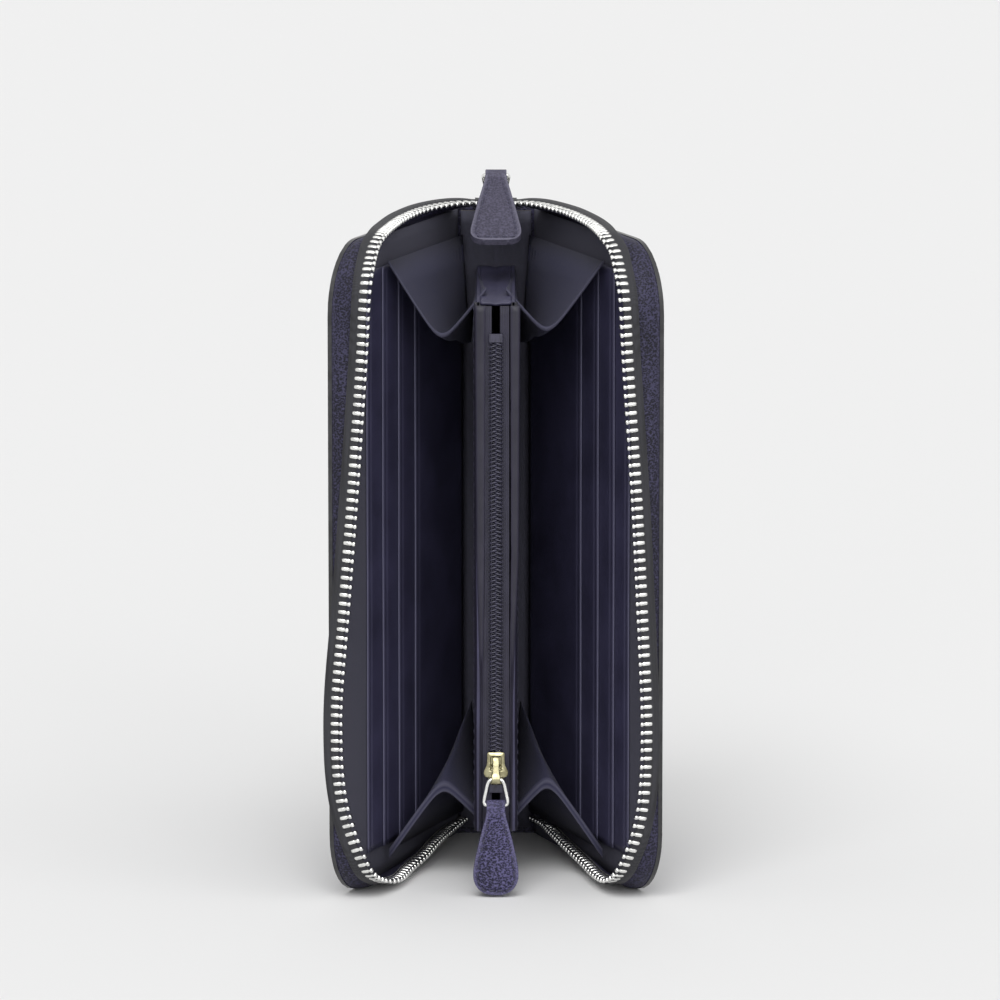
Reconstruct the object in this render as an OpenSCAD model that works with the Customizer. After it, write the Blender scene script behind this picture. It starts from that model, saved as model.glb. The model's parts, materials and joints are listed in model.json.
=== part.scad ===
// Zip around wallet with a central coin pocket, standing open on its short end.
// +Z runs along the wallet's length, +Y points to the spine and -Y to the opening.
// The origin is on the floor, at the centre of the bounding box.

/* [Wallet] */
// Length of the wallet, which is its height as it stands
wallet_l = 192; // [150:1:230]
// Depth of a cover, from the spine to the zip edge
cover_d = 100; // [84:1:130]
// Thickness of the closed wallet, over both covers
wallet_t = 25; // [24:0.5:34]
// Outside radius of the corners on the zip edge
corner_r = 20; // [10:1:30]
// Angle that each cover stands open, in degrees
open_a = 21; // [14:1:32]

/* [Leather and lining] */
// Thickness of the outer leather
leather_t = 1.3; // [0.9:0.1:1.6]
// Thickness of the stiffening board
board_t = 1; // [0.6:0.1:1.4]
// Thickness of the lining
lining_t = 0.5; // [0.3:0.1:0.8]
// Distance that the board stays back from the edge of the leather
board_inset = 2; // [1.6:0.1:6]
// Bare fold of leather between the spine stack and a cover stack
fold_gap = 0.3; // [0.2:0.1:2]

/* [Card pockets] */
// Number of card pocket edges on each cover
card_rows = 4; // [4:1:4]
// Thickness of one card pocket layer
card_t = 0.6; // [0.3:0.1:0.7]
// Distance from the zip edge to the first card pocket edge
card_edge = 17; // [10:1:22]
// Distance between one card pocket edge and the next
card_pitch = 12; // [8:1:14]
// Distance from the spine to the sewn side of the card pockets
card_foot = 6; // [5:1:12]
// Distance from the ends of the cover to the card pockets
card_end = 10; // [6:1:16]

/* [Main zip] */
// Thickness of the leather wall that carries the zip
wall_w = 1; // [0.7:0.1:1.4]
// Thickness of the zip tape
tape_t = 0.6; // [0.4:0.1:0.7]
// Width of tape that shows between the wall and the teeth
tape_show = 2; // [1:0.1:3]
// Depth of tape that is sewn behind the wall
tape_sewn = 3; // [2:0.5:4]
// Width of one row of teeth
tooth_w = 2.8; // [2.4:0.1:3.2]
// Thickness of the teeth
tooth_t = 2.5; // [2:0.1:3]
// Half of the gap between the two rows when the wallet is closed
row_gap = 0.1; // [0.05:0.05:0.4]
// Distance from the spine to the first teeth at the slider end
chain_start = 16; // [16:1:30]
// Distance from the spine to the last teeth at the free end
chain_stop = 6; // [5:1:20]

/* [Main slider] */
// Length of the slider body
slider_l = 11; // [9:0.5:11.5]
// Width of the slider body
slider_w = 8.5; // [8.5:0.1:9.4]
// Thickness of each slider plate
slider_plate = 1.15; // [0.8:0.05:1.5]
// Clearance between the slider and what runs in it
slider_clear = 0.2; // [0.1:0.05:0.4]
// Radius of the wire of the slider's link
wire_r = 0.75; // [0.5:0.05:0.9]
// Clearance round a hinge wire
wire_clear = 0.05; // [0.02:0.01:0.1]
// Distance between the two cross wires of the link
link_l = 5.4; // [5:0.1:9]
// Width of each leg of the link
link_leg = 1.2; // [0.8:0.1:1.8]
// Tilt of the link above the horizontal
link_tilt = 55; // [40:1:70]
// Length of the leather pull from its wire to its tip
pull_l = 34; // [24:1:45]
// Width of the pull at its tip
pull_w = 15; // [11:0.5:18]
// Width of the pull at its loop
pull_neck = 6.2; // [5:0.1:7]
// Thickness of the pull
pull_t = 3; // [2.6:0.1:3.6]
// Slope of the pull below the horizontal
pull_slope = 28; // [15:1:45]

/* [Coin pocket] */
// Depth of the coin pocket from the spine lining
pocket_d = 80.4; // [60:0.2:84]
// Distance from the ends of the wallet to the coin pocket
pocket_end = 18.5; // [17:0.5:30]
// Outside thickness of the coin pocket
pocket_t = 11.2; // [10.6:0.1:11.6]
// Thickness of each side panel
panel_t = 1; // [0.6:0.1:1.2]
// Thickness of the binding on the pocket's mouth
binding_t = 0.7; // [0.4:0.1:0.8]
// Width of the binding back from the mouth
binding_w = 7; // [4:0.5:12]

/* [Coin zip] */
// Outside width of the coil
coil_w = 4; // [3.6:0.1:4.4]
// Thickness of the coil
coil_t = 1.5; // [1.2:0.1:1.8]
// Width of the channel for the slider's web
coil_channel = 1.5; // [1.4:0.1:1.8]
// Height of the coin slider body
coin_slider_h = 9.5; // [8:0.5:11]
// Width of the coin slider at its shoulders
coin_slider_w = 7; // [6.8:0.1:7.4]
// Width of the coin slider at its tail
coin_tail_w = 5.4; // [5:0.1:6]
// Thickness of the coin slider's plates
coin_plate = 1.15; // [0.8:0.05:1.3]
// Height of the coin slider's lower end above the floor
coin_slider_z = 33; // [32:0.5:60]
// Distance from the end of the coil to the top of the pocket
coil_end = 10.5; // [6:0.5:20]
// Height of a metal stop
stop_h = 2.4; // [1.5:0.1:3]
// Radius of the wire of the coin link
coin_wire_r = 0.6; // [0.4:0.05:0.7]
// Distance between the two cross wires of the coin link
coin_link_l = 7.6; // [6:0.1:9]
// Width of each leg of the coin link
coin_link_leg = 1; // [0.7:0.1:1.4]
// Length of the coin pull from its wire to its tip
coin_pull_l = 26.6; // [18:0.1:26.8]
// Width of the coin pull at its tip
coin_pull_w = 13.2; // [10:0.1:15]
// Width of the coin pull at its loop
coin_pull_neck = 5.2; // [4.4:0.1:5.4]
// Thickness of the coin pull
coin_pull_t = 2.6; // [2.2:0.1:3]

/* [Gussets] */
// Thickness of the folded gusset lining
gusset_t = 0.6; // [0.4:0.1:0.7]
// Distance of the gussets' front edges from the spine
gusset_front = 64; // [40:1:70]
// Distance of the gussets' back ends from the spine
gusset_back = 8; // [6:1:14]
// Distance of the gussets' outer edges from the ends of the wallet
gusset_end = 9; // [4:1:10]
// Height of the gusset's fold above the end of the wallet, at the front
fold_front = 29; // [24:1:34]
// Height of the gusset's fold above the end of the wallet, at the back
fold_back = 42; // [34:1:50]
// Gap between a soft piece and its neighbour
soft_gap = 0.3; // [0.2:0.05:0.5]

/* [Hidden] */
covers = [["left", -1], ["right", 1]];
round_fn = 64;
leg_clear = 0.3;                             // between a pull's loop and the legs of its link
leg_share = 0.85;                            // height of a link's leg, as a share of its wire
hair = 0.1;                                  // step past a face where one shape cuts another
spine_stack = leather_t + board_t + lining_t;
cover_start = spine_stack + fold_gap;        // where the cover stack begins, from the spine
cover_stack = leather_t + board_t + lining_t + card_rows * card_t;
row_end = wallet_t / 2 - row_gap;            // inner face of the teeth, from the cover's face
tape_end = row_end - tooth_w;
wall_end = tape_end - tape_show;
tape_mid = wall_w + tape_t / 2;              // the tape's middle, in from the edge
front_reach = cover_d * cos(open_a) + row_end * sin(open_a);
spine_y = front_reach / 2;                   // puts the origin at the middle of the depth
// Main slider
zip_z = wallet_l + tooth_t / 2 + hair;       // plane of the joined chain over the spine
slider_back = spine_stack + 0.4;
slider_front = slider_back + slider_l;
slot_h = tooth_t / 2 + slider_clear;         // half height of the slider's channel
slider_half = slot_h + slider_plate;
stub_w = tooth_w + row_gap;                  // half width of the joined chain
web_l = 3;
web_w = 2;
bail_w = 2.4;
hinge_s = slider_back + slider_l * 0.5;      // first cross wire
hinge_z = zip_z + slider_half + wire_r + 0.9;
bail_r = wire_r + wire_clear + 0.8;
bail_l = 3.4;                 // length of the eye's block behind the hinge
flange_t = 0.6;               // slider side flange
tooth_gap = 0.6;              // room between the free chain and the slider's mouth
tooth_back = 0.9;             // free chain starts this far inside the cover's row
link_s = hinge_s + link_l * cos(link_tilt);  // second cross wire
link_z = hinge_z + link_l * sin(link_tilt);
// Coin pocket and coin zip
pocket_top = wallet_l - pocket_end;
mouth_s = spine_stack + pocket_d;            // front edge of the side panels
half_t = pocket_t / 2;
panel_in = half_t - panel_t;
binding_in = panel_in - binding_t;
tape_s = mouth_s - tape_t;                   // back face of the coin zip's tapes
coil_s = tape_s + tape_t;
coil_top = pocket_top - coil_end;
coil_bottom = coin_slider_z - 0.3;
plate_gap = 0.15;
front_plate_s = coil_s + coil_t + plate_gap;
coin_hinge_s = front_plate_s + coin_plate + coin_wire_r + 0.85;
coin_hinge_z = coin_slider_z + 1.8;
coin_bail_r = coin_wire_r + wire_clear + 0.65;
coin_bail_w = 2.2;
coin_wire_z = coin_hinge_z - coin_link_l;

// Turns a piece drawn as [distance from the spine, height, depth into the cover]
// to where the cover stands. side is -1 for the left cover and 1 for the right.
module on_cover(side) {
    mirror([side < 0 ? 1 : 0, 0, 0])
        translate([wallet_t / 2, spine_y, 0]) rotate([0, 0, open_a]) rotate([90, 0, -90]) children();
}

// Puts a piece drawn with its distance from the spine along +Y and seen from the spine
// into the wallet's frame: s becomes -Y.
module from_spine(x, s, z) {
    translate([x, spine_y - s, z]) children();
}

// A block between two distances from the spine.
module block(x0, x1, s0, s1, z0, z1) {
    translate([x0, spine_y - s1, z0]) cube([x1 - x0, s1 - s0, z1 - z0]);
}

// The two mirrored halves of a block.
module block_pair(x0, x1, s0, s1, z0, z1) {
    block(x0, x1, s0, s1, z0, z1);
    block(-x1, -x0, s0, s1, z0, z1);
}

// Outline of a cover, drawn in from its edge, with the two front corners round.
module cover_outline(inset, start) {
    r = corner_r - inset;
    front = cover_d - inset;
    translate([start, inset]) square([front - r - start, wallet_l - 2 * inset]);
    translate([start, inset + r]) square([front - start, wallet_l - 2 * inset - 2 * r]);
    for (z = [inset + r, wallet_l - inset - r])
        translate([front - r, z]) circle(r, $fn = round_fn);
}

// A flat layer of a cover between two depths.
module cover_layer(inset, start, from, to) {
    translate([0, 0, from]) linear_extrude(to - from) cover_outline(inset, start);
}

// A band round the three zip sides of a cover.
module cover_band(outer, inner, start, from, to) {
    translate([0, 0, from]) linear_extrude(to - from) difference() {
        cover_outline(outer, start);
        cover_outline(inner, start - 1);
    }
}

// Cuts the slider end of a band back to where the teeth begin.
module from_slider_end() {
    difference() {
        children();
        translate([-1, wallet_l / 2, -1]) cube([chain_start + 1, wallet_l, wallet_t]);
    }
}

module outer_leather(side) {
    color([0.11, 0.12, 0.2]) on_cover(side) cover_layer(0, cover_start, 0, leather_t);
}

module board(side) {
    color([0.45, 0.42, 0.38]) on_cover(side)
        cover_layer(board_inset, cover_start, leather_t, leather_t + board_t);
}

module lining(side) {
    color([0.05, 0.06, 0.1]) on_cover(side)
        cover_layer(board_inset, cover_start, leather_t + board_t, spine_stack);
}

module zip_wall(side) {
    color([0.12, 0.13, 0.22]) on_cover(side) cover_band(0, wall_w, cover_start, leather_t, wall_end);
}

module zip_tape(side) {
    color([0.04, 0.04, 0.08]) on_cover(side) from_slider_end()
        cover_band(wall_w, wall_w + tape_t, chain_stop, wall_end - tape_sewn, tape_end);
}

module zip_teeth(side) {
    color([0.78, 0.78, 0.8]) on_cover(side) from_slider_end()
        cover_band(tape_mid - tooth_t / 2, tape_mid + tooth_t / 2, chain_stop, tape_end, row_end);
}

module card_row(side, row) {
    low = spine_stack + (row - 1) * card_t;
    reach = cover_d - card_edge - (row - 1) * card_pitch;
    color([0.06, 0.07, 0.12]) on_cover(side)
        translate([card_foot, card_end, low]) cube([reach - card_foot, wallet_l - 2 * card_end, card_t]);
}

module spine_leather() {
    color([0.11, 0.12, 0.2]) block(-wallet_t / 2, wallet_t / 2, 0, leather_t, 0, wallet_l);
}

module spine_board() {
    half = wallet_t / 2 - board_inset;
    color([0.45, 0.42, 0.38])
        block(-half, half, leather_t, leather_t + board_t, board_inset, wallet_l - board_inset);
}

module spine_lining() {
    half = wallet_t / 2 - board_inset;
    color([0.05, 0.06, 0.1])
        block(-half, half, leather_t + board_t, spine_stack, board_inset, wallet_l - board_inset);
}

module coin_panel(side) {
    x0 = side > 0 ? panel_in : -half_t;
    color([0.08, 0.09, 0.16])
        block(x0, x0 + panel_t, spine_stack, mouth_s, pocket_end, pocket_top);
}

// A sewn end of the coin pocket, between its side panels and behind the tapes.
module coin_seam(z) {
    color([0.08, 0.09, 0.16])
        block(-panel_in, panel_in, spine_stack, tape_s - hair - binding_w, z, z + panel_t);
}

// Leather folded over the front edge of a side panel.
module coin_binding(side) {
    color([0.2, 0.2, 0.34]) mirror([side < 0 ? 1 : 0, 0, 0]) difference() {
        block(binding_in, half_t + binding_t, mouth_s - binding_w, mouth_s + binding_t, pocket_end,
              pocket_top);
        block(panel_in, half_t, mouth_s - binding_w - 1, mouth_s, pocket_end - 1, pocket_top + 1);
    }
}

module coin_tape(side) {
    color([0.07, 0.08, 0.18]) mirror([side < 0 ? 1 : 0, 0, 0])
        block(coil_channel / 2, binding_in, tape_s, coil_s, pocket_end, pocket_top);
}

module coin_coil(side) {
    color([0.1, 0.11, 0.25]) mirror([side < 0 ? 1 : 0, 0, 0])
        block(coil_channel / 2, coil_w / 2, coil_s, coil_s + coil_t, coil_bottom, coil_top);
}

module coin_stop(z) {
    color([0.8, 0.8, 0.75]) block(-coil_w / 2, coil_w / 2, coil_s, coil_s + coil_t, z, z + stop_h);
}

// Inside face of an open cover's card stack, at a distance from the spine.
function cover_x(s) = wallet_t / 2 - cover_stack / cos(open_a) + s * tan(open_a) - soft_gap;

// One section across a gusset: up from the cover to the fold, down to the pocket, and back.
function gusset_section(s, fold) =
    let (
        xc = cover_x(s),
        xp = half_t + soft_gap,
        xf = (xc + xp) / 2,
        zp = pocket_end + panel_t,
        drop_c = gusset_t * (fold - gusset_end) / (xc - xf),
        drop_p = gusset_t * (fold - zp) / (xf - xp),
        drop = max(drop_c, drop_p)
    )
    [[xc, s, gusset_end], [xf, s, fold], [xp, s, zp],
     [xp + gusset_t, s, zp], [xf, s, fold - drop], [xc - gusset_t, s, gusset_end]];

module gusset(side, top) {
    near = gusset_section(gusset_front, fold_front);
    far = gusset_section(gusset_back, fold_back);
    points = [for (p = concat(near, far)) [p[0], spine_y - p[1], p[2]]];
    n = len(near);
    // The outer and inner faces are split along the same diagonals, so that they can't cross.
    sides = [for (i = [0 : n - 1]) let (j = (i + 1) % n)
        each i < n / 2 ? [[i, i + n, j], [j, i + n, j + n]] : [[i, i + n, j + n], [i, j + n, j]]];
    near_end = [[0, 1, 5], [1, 4, 5], [1, 2, 4], [2, 3, 4]];
    far_end = [for (f = near_end) [f[2] + n, f[1] + n, f[0] + n]];
    color([0.14, 0.16, 0.3])
        translate([0, 0, top ? wallet_l : 0]) mirror([0, 0, top ? 1 : 0]) mirror([side < 0 ? 1 : 0, 0, 0])
        polyhedron(points, concat(sides, near_end, far_end));
}

// Free end of the chain between the slider's mouth and the row on a cover.
module zip_bridge(side) {
    start_u = chain_start - hair;
    row_mid = tape_end + tooth_w / 2;
    x1 = wallet_t / 2 + start_u * sin(open_a) - row_mid * cos(open_a);
    s1 = start_u * cos(open_a) + row_mid * sin(open_a);
    color([0.78, 0.78, 0.8]) mirror([side < 0 ? 1 : 0, 0, 0]) hull() {
        from_spine(stub_w - tooth_w / 2 + tooth_gap, slider_front + tooth_gap, zip_z)
            cube([tooth_w, 0.4, tooth_t], center = true);
        from_spine(x1, s1 - tooth_back, wallet_l - tape_mid) rotate([0, 0, open_a])
            cube([tooth_w, 0.4, tooth_t], center = true);
    }
}

module zip_end_chain() {
    color([0.78, 0.78, 0.8])
        block(-stub_w, stub_w, hair, slider_front - web_l - 0.5, zip_z - tooth_t / 2, zip_z + tooth_t / 2);
}

module zip_end_tape() {
    color([0.04, 0.04, 0.08]) block_pair(stub_w, slider_w / 2 + tape_show, hair, slider_front - web_l,
                                         zip_z - tape_t / 2, zip_z + tape_t / 2);
}

// Outline of a slider plate, wide at the mouth and narrower at the tail, x across.
module plate_outline(w_mouth, w_tail, l) {
    polygon([[-w_tail / 2, 0], [w_tail / 2, 0], [w_mouth / 2, l * 0.55], [w_mouth / 2, l - 1],
             [w_mouth / 2 - 1, l], [1 - w_mouth / 2, l], [-w_mouth / 2, l - 1], [-w_mouth / 2, l * 0.55]]);
}

// A round bar along X.
module cross_bar(r, half) {
    rotate([0, 90, 0]) cylinder(h = 2 * half, r = r, center = true, $fn = round_fn);
}

module main_slider() {
    tail_w = 2 * (stub_w + slider_clear + flange_t);
    flange_in = stub_w + slider_clear;
    flange_h = tape_t / 2 + slider_clear;
    color([0.8, 0.8, 0.82]) difference() {
        union() {
            for (z = [zip_z - slider_half, zip_z + slot_h])
                from_spine(0, slider_back, z) mirror([0, 1, 0]) linear_extrude(slider_plate)
                    plate_outline(slider_w, tail_w, slider_l);
            for (z = [[-slot_h, -flange_h], [flange_h, slot_h]])
                block_pair(flange_in, tail_w / 2, slider_back, slider_front - web_l,
                    zip_z + z[0], zip_z + z[1]);
            block(-web_w / 2, web_w / 2, slider_front - web_l, slider_front, zip_z - slot_h, zip_z + slot_h);
            from_spine(0, hinge_s, hinge_z) cross_bar(bail_r, bail_w / 2);
            block(-bail_w / 2, bail_w / 2, hinge_s - bail_l, hinge_s + bail_r, zip_z + slider_half,
                  hinge_z);
        }
        from_spine(0, hinge_s, hinge_z) cross_bar(wire_r + wire_clear, bail_w);
    }
}

// A stiff link: two cross wires joined by a flat leg on each side. near and far are [s, z].
module wire_link(r, inside, leg_t, near, far) {
    half = inside + leg_t;
    along = [near[0] - far[0], far[1] - near[1]];
    for (p = [near, far]) from_spine(0, p[0], p[1]) cross_bar(r, half);
    for (x = [-half, inside])
        from_spine(x, near[0], near[1]) rotate([atan2(along[1], along[0]), 0, 0])
            translate([0, 0, -r * leg_share]) cube([leg_t, norm(along), 2 * r * leg_share]);
}

module main_link() {
    color([0.85, 0.85, 0.87])
        wire_link(wire_r, pull_neck / 2 + leg_clear, link_leg, [hinge_s, hinge_z], [link_s, link_z]);
}

// A leather pull round a wire along X, hanging down from it along -Z, with a round bore.
module leather_pull(l, neck, w, thick, bore) {
    corner = w * 0.22;
    color([0.24, 0.23, 0.34]) difference() {
        union() {
            cross_bar(thick / 2 + 0.4, neck / 2);
            rotate([90, 0, 0]) linear_extrude(thick, center = true) {
                polygon([[-neck / 2, 0], [neck / 2, 0], [w / 2, corner - l], [w / 2 - corner, -l],
                         [corner - w / 2, -l], [-w / 2, corner - l]]);
                for (x = [corner - w / 2, w / 2 - corner])
                    translate([x, corner - l]) circle(corner, $fn = round_fn);
            }
        }
        cross_bar(bore, neck);
    }
}

module main_pull() {
    from_spine(0, link_s, link_z) rotate([pull_slope - 90, 0, 0])
        leather_pull(pull_l, pull_neck, pull_w, pull_t, wire_r + wire_clear);
}

module coin_slider() {
    flange_in = coil_w / 2 + plate_gap;
    back_plate_s = tape_s - plate_gap - coin_plate;
    web_h = 2.5;
    web_half = coil_channel / 2 - plate_gap;
    color([0.88, 0.87, 0.77]) difference() {
        union() {
            for (s = [back_plate_s, front_plate_s])
                from_spine(0, s, coin_slider_z + coin_slider_h) rotate([90, 0, 0]) mirror([0, 1, 0])
                    linear_extrude(coin_plate) plate_outline(coin_slider_w, coin_tail_w, coin_slider_h);
            block_pair(flange_in, coin_tail_w / 2, coil_s + plate_gap, front_plate_s, coin_slider_z + 1,
                       coin_slider_z + coin_slider_h);
            block(-web_half, web_half, back_plate_s + coin_plate, front_plate_s, coin_slider_z,
                  coin_slider_z + web_h);
            from_spine(0, coin_hinge_s, coin_hinge_z) cross_bar(coin_bail_r, coin_bail_w / 2);
            block(-coin_bail_w / 2, coin_bail_w / 2, front_plate_s + coin_plate, coin_hinge_s,
                  coin_hinge_z - coin_bail_r, coin_hinge_z + 5.2);
        }
        from_spine(0, coin_hinge_s, coin_hinge_z) cross_bar(coin_wire_r + wire_clear, coin_bail_w);
    }
}

module coin_link() {
    color([0.85, 0.85, 0.87])
        wire_link(coin_wire_r, coin_pull_neck / 2 + leg_clear, coin_link_leg, [coin_hinge_s, coin_hinge_z],
                  [coin_hinge_s, coin_wire_z]);
}

module coin_pull() {
    from_spine(0, coin_hinge_s, coin_wire_z)
        leather_pull(coin_pull_l, coin_pull_neck, coin_pull_w, coin_pull_t, coin_wire_r + wire_clear);
}

for (c = covers) {
    outer_leather(c[1]);
    board(c[1]);
    lining(c[1]);
    zip_wall(c[1]);
    zip_tape(c[1]);
    zip_teeth(c[1]);
    for (row = [1 : card_rows])
        card_row(c[1], row);
    coin_panel(c[1]);
    coin_binding(c[1]);
    coin_tape(c[1]);
    coin_coil(c[1]);
    gusset(c[1], true);
    gusset(c[1], false);
    zip_bridge(c[1]);
}
spine_leather();
spine_board();
spine_lining();
coin_seam(pocket_top - panel_t);  // coin_pocket_top_seam
coin_seam(pocket_end);  // coin_pocket_bottom_seam
coin_stop(coil_top);  // coin_top_stop
coin_stop(coil_bottom - stop_h);  // coin_bottom_stop
zip_end_chain();
zip_end_tape();
main_slider();
main_link();
main_pull();
coin_slider();
coin_link();
coin_pull();
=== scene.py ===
import json
import math

import bmesh
import bpy
import numpy as np
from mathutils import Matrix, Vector


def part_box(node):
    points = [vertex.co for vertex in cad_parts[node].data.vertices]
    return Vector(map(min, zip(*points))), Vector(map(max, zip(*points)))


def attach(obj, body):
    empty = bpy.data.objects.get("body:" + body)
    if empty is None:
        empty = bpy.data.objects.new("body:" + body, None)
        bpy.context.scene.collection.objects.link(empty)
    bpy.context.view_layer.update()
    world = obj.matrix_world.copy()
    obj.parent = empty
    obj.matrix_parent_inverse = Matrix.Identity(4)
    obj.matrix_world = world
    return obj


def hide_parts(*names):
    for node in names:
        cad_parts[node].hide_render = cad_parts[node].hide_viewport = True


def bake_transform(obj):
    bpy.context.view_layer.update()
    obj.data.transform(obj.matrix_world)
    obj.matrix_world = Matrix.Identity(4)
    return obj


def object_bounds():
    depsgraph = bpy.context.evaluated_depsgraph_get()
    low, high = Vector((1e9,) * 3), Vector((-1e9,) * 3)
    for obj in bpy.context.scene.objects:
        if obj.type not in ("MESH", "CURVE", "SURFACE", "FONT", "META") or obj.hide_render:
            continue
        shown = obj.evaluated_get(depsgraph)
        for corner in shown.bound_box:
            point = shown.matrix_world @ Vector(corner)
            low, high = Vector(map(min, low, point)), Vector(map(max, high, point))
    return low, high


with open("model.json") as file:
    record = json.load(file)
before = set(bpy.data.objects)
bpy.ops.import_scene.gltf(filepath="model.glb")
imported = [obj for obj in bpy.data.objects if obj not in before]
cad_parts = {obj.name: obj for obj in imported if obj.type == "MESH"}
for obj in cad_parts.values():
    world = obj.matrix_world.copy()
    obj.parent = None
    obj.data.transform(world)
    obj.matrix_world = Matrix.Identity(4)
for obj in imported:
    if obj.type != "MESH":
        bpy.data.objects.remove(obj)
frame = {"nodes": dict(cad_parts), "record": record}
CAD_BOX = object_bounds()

# Lengths are in millimetres and are scaled to metres when a mesh is made.
# A point is (x, s, z): s is the distance from the spine's outer face to the opening.
MM = 0.001
SPINE_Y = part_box("spine_leather")[1].y / MM
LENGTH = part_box("spine_leather")[1].z / MM
DEPTH = 100.0
HALF_T = 12.5
OPEN = math.radians(21.0)
CORNER_R = 20.0
LEATHER_T = 1.3
LINING_T0 = 2.3
LINING_T1 = 2.8
TOOTH_PITCH = 2.54
FOLD_R = 3.0
SIDES = (("left", -1), ("right", 1))
SIN = math.sin(OPEN)
COS = math.cos(OPEN)


def place(p):
    """A point (x, s, z) in millimetres as a point of the frame in metres."""
    return (p[0] * MM, (SPINE_Y - p[1]) * MM, p[2] * MM)


def cover_point(side, u, t, z):
    """A point u from the fold along a cover and t inward from its outer face."""
    return (side * (HALF_T + u * SIN - t * COS), u * COS + t * SIN, z)


def inward(side):
    """The direction from a cover's outer face inward."""
    return np.array((-side * COS, SIN, 0.0))


def add_mesh(name, points, faces, material, body=None, smooth=True, slots=None):
    """A mesh object from points in (x, s, z) and faces, riding on a body."""
    mesh = bpy.data.meshes.new(name)
    mesh.from_pydata([place(p) for p in points], [], faces)
    for each in material if isinstance(material, (list, tuple)) else [material]:
        mesh.materials.append(LOOKS[each])
    if slots:
        mesh.polygons.foreach_set("material_index", slots)
    bm = bmesh.new()
    bm.from_mesh(mesh)
    bmesh.ops.recalc_face_normals(bm, faces=bm.faces)
    bm.to_mesh(mesh)
    bm.free()
    for polygon in mesh.polygons:
        polygon.use_smooth = smooth
    obj = bpy.data.objects.new(name, mesh)
    bpy.context.scene.collection.objects.link(obj)
    if body:
        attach(obj, body)
    return obj


def slab(outer, inner):
    """Points and faces of a plate between two grids, and 1 for each rim face."""
    rows, columns = len(outer), len(outer[0])
    count = rows * columns
    points = [tuple(p) for row in outer for p in row] + [tuple(p) for row in inner for p in row]
    faces = grid_faces(rows, columns)
    faces += [tuple(i + count for i in reversed(q)) for q in grid_faces(rows, columns)]
    slots = [0] * len(faces)
    border = [(0, j) for j in range(columns)]
    border += [(i, columns - 1) for i in range(1, rows)]
    border += [(rows - 1, j) for j in range(columns - 2, -1, -1)]
    border += [(i, 0) for i in range(rows - 2, 0, -1)]
    ids = [i * columns + j for i, j in border]
    for a, b in zip(ids, ids[1:] + ids[:1]):
        faces.append((a, b, b + count, a + count))
        slots.append(1)
    return points, faces, slots


def round_edges(obj, width, segments=3, angle=50):
    """Rounds a piece's sharp edges by a width in millimetres."""
    bevel = obj.modifiers.new("round", "BEVEL")
    bevel.width = width * MM
    bevel.segments = segments
    bevel.limit_method = "ANGLE"
    bevel.angle_limit = math.radians(angle)
    bevel.harden_normals = True
    return obj


def grid_faces(rows, columns, close_rows=False, close_columns=False):
    """Quads over a grid of points that is stored row by row."""
    faces = []
    for i in range(rows if close_rows else rows - 1):
        for j in range(columns if close_columns else columns - 1):
            a = i * columns + j
            b = i * columns + (j + 1) % columns
            c = ((i + 1) % rows) * columns + (j + 1) % columns
            d = ((i + 1) % rows) * columns + j
            faces.append((a, b, c, d))
    return faces


def tube(rings):
    """Points and faces of a closed tube through rings of points."""
    columns = len(rings[0])
    points = [tuple(p) for ring in rings for p in ring]
    faces = grid_faces(len(rings), columns, close_columns=True)
    faces.append(tuple(range(columns)))
    faces.append(tuple(range(len(points) - columns, len(points))))
    return points, faces


def add_slab(name, outer, inner, look, body=None, node=None, wear_and_highlight=None):
    """A plate between two grids as a piece. Its rim takes the second look, if there is one."""
    points, faces, slots = slab(outer, inner)
    obj = add_mesh(name, points, faces, look, body, slots=slots if isinstance(look, tuple) else None)
    if wear_and_highlight:
        paint(obj, "wear_and_highlight", wear_and_highlight + [0.0] * (len(points) - len(wear_and_highlight)))
    if node:
        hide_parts(node)
    return obj


def add_parts(name, parts, look, body=None):
    """Several (points, faces) pairs as one piece."""
    points = []
    faces = []
    for some, quads in parts:
        start = len(points)
        points.extend(some)
        faces.extend(tuple(i + start for i in q) for q in quads)
    return add_mesh(name, points, faces, look, body)


def run_length(path):
    """The distance along a path to each of its points."""
    return np.concatenate([[0], np.cumsum(np.linalg.norm(np.diff(path, axis=0), axis=1))])


def spot_at(distance, run, path):
    """The places at distances along a path."""
    return np.stack([np.interp(distance, run, column) for column in path.T], axis=-1)


def circle(count):
    """Even angles once round, without the last."""
    return np.linspace(0, 2 * math.pi, count + 1)[:-1]


def smooth_curve(points, step):
    """Points about one step apart on a smooth curve through the given ones."""
    p = np.array(points, float)
    p = np.vstack([2 * p[0] - p[1], p, 2 * p[-1] - p[-2]])
    dense = []
    for i in range(1, len(p) - 2):
        gaps = [max(np.linalg.norm(p[i + k] - p[i + k - 1]), 1e-6) ** 0.5 for k in (0, 1, 2)]
        m1 = gaps[1] * ((p[i] - p[i - 1]) / gaps[0] - (p[i + 1] - p[i - 1]) / (gaps[0] + gaps[1])
                        + (p[i + 1] - p[i]) / gaps[1])
        m2 = gaps[1] * ((p[i + 1] - p[i]) / gaps[1] - (p[i + 2] - p[i]) / (gaps[1] + gaps[2])
                        + (p[i + 2] - p[i + 1]) / gaps[2])
        for f in np.linspace(0, 1, 24, endpoint=False):
            h = (2 * f**3 - 3 * f**2 + 1, f**3 - 2 * f**2 + f, -2 * f**3 + 3 * f**2, f**3 - f**2)
            dense.append(h[0] * p[i] + h[1] * m1 + h[2] * p[i + 1] + h[3] * m2)
    dense.append(p[-2])
    dense = np.array(dense)
    run = run_length(dense)
    return spot_at(np.linspace(0, run[-1], max(2, int(round(run[-1] / step)) + 1)), run, dense)


def unit(v):
    """A direction of length one."""
    return v / max(np.linalg.norm(v), 1e-9)


def tangents(path):
    """The direction of a path at each of its points."""
    return np.array([unit(v) for v in np.gradient(np.array(path, float), axis=0)])


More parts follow.
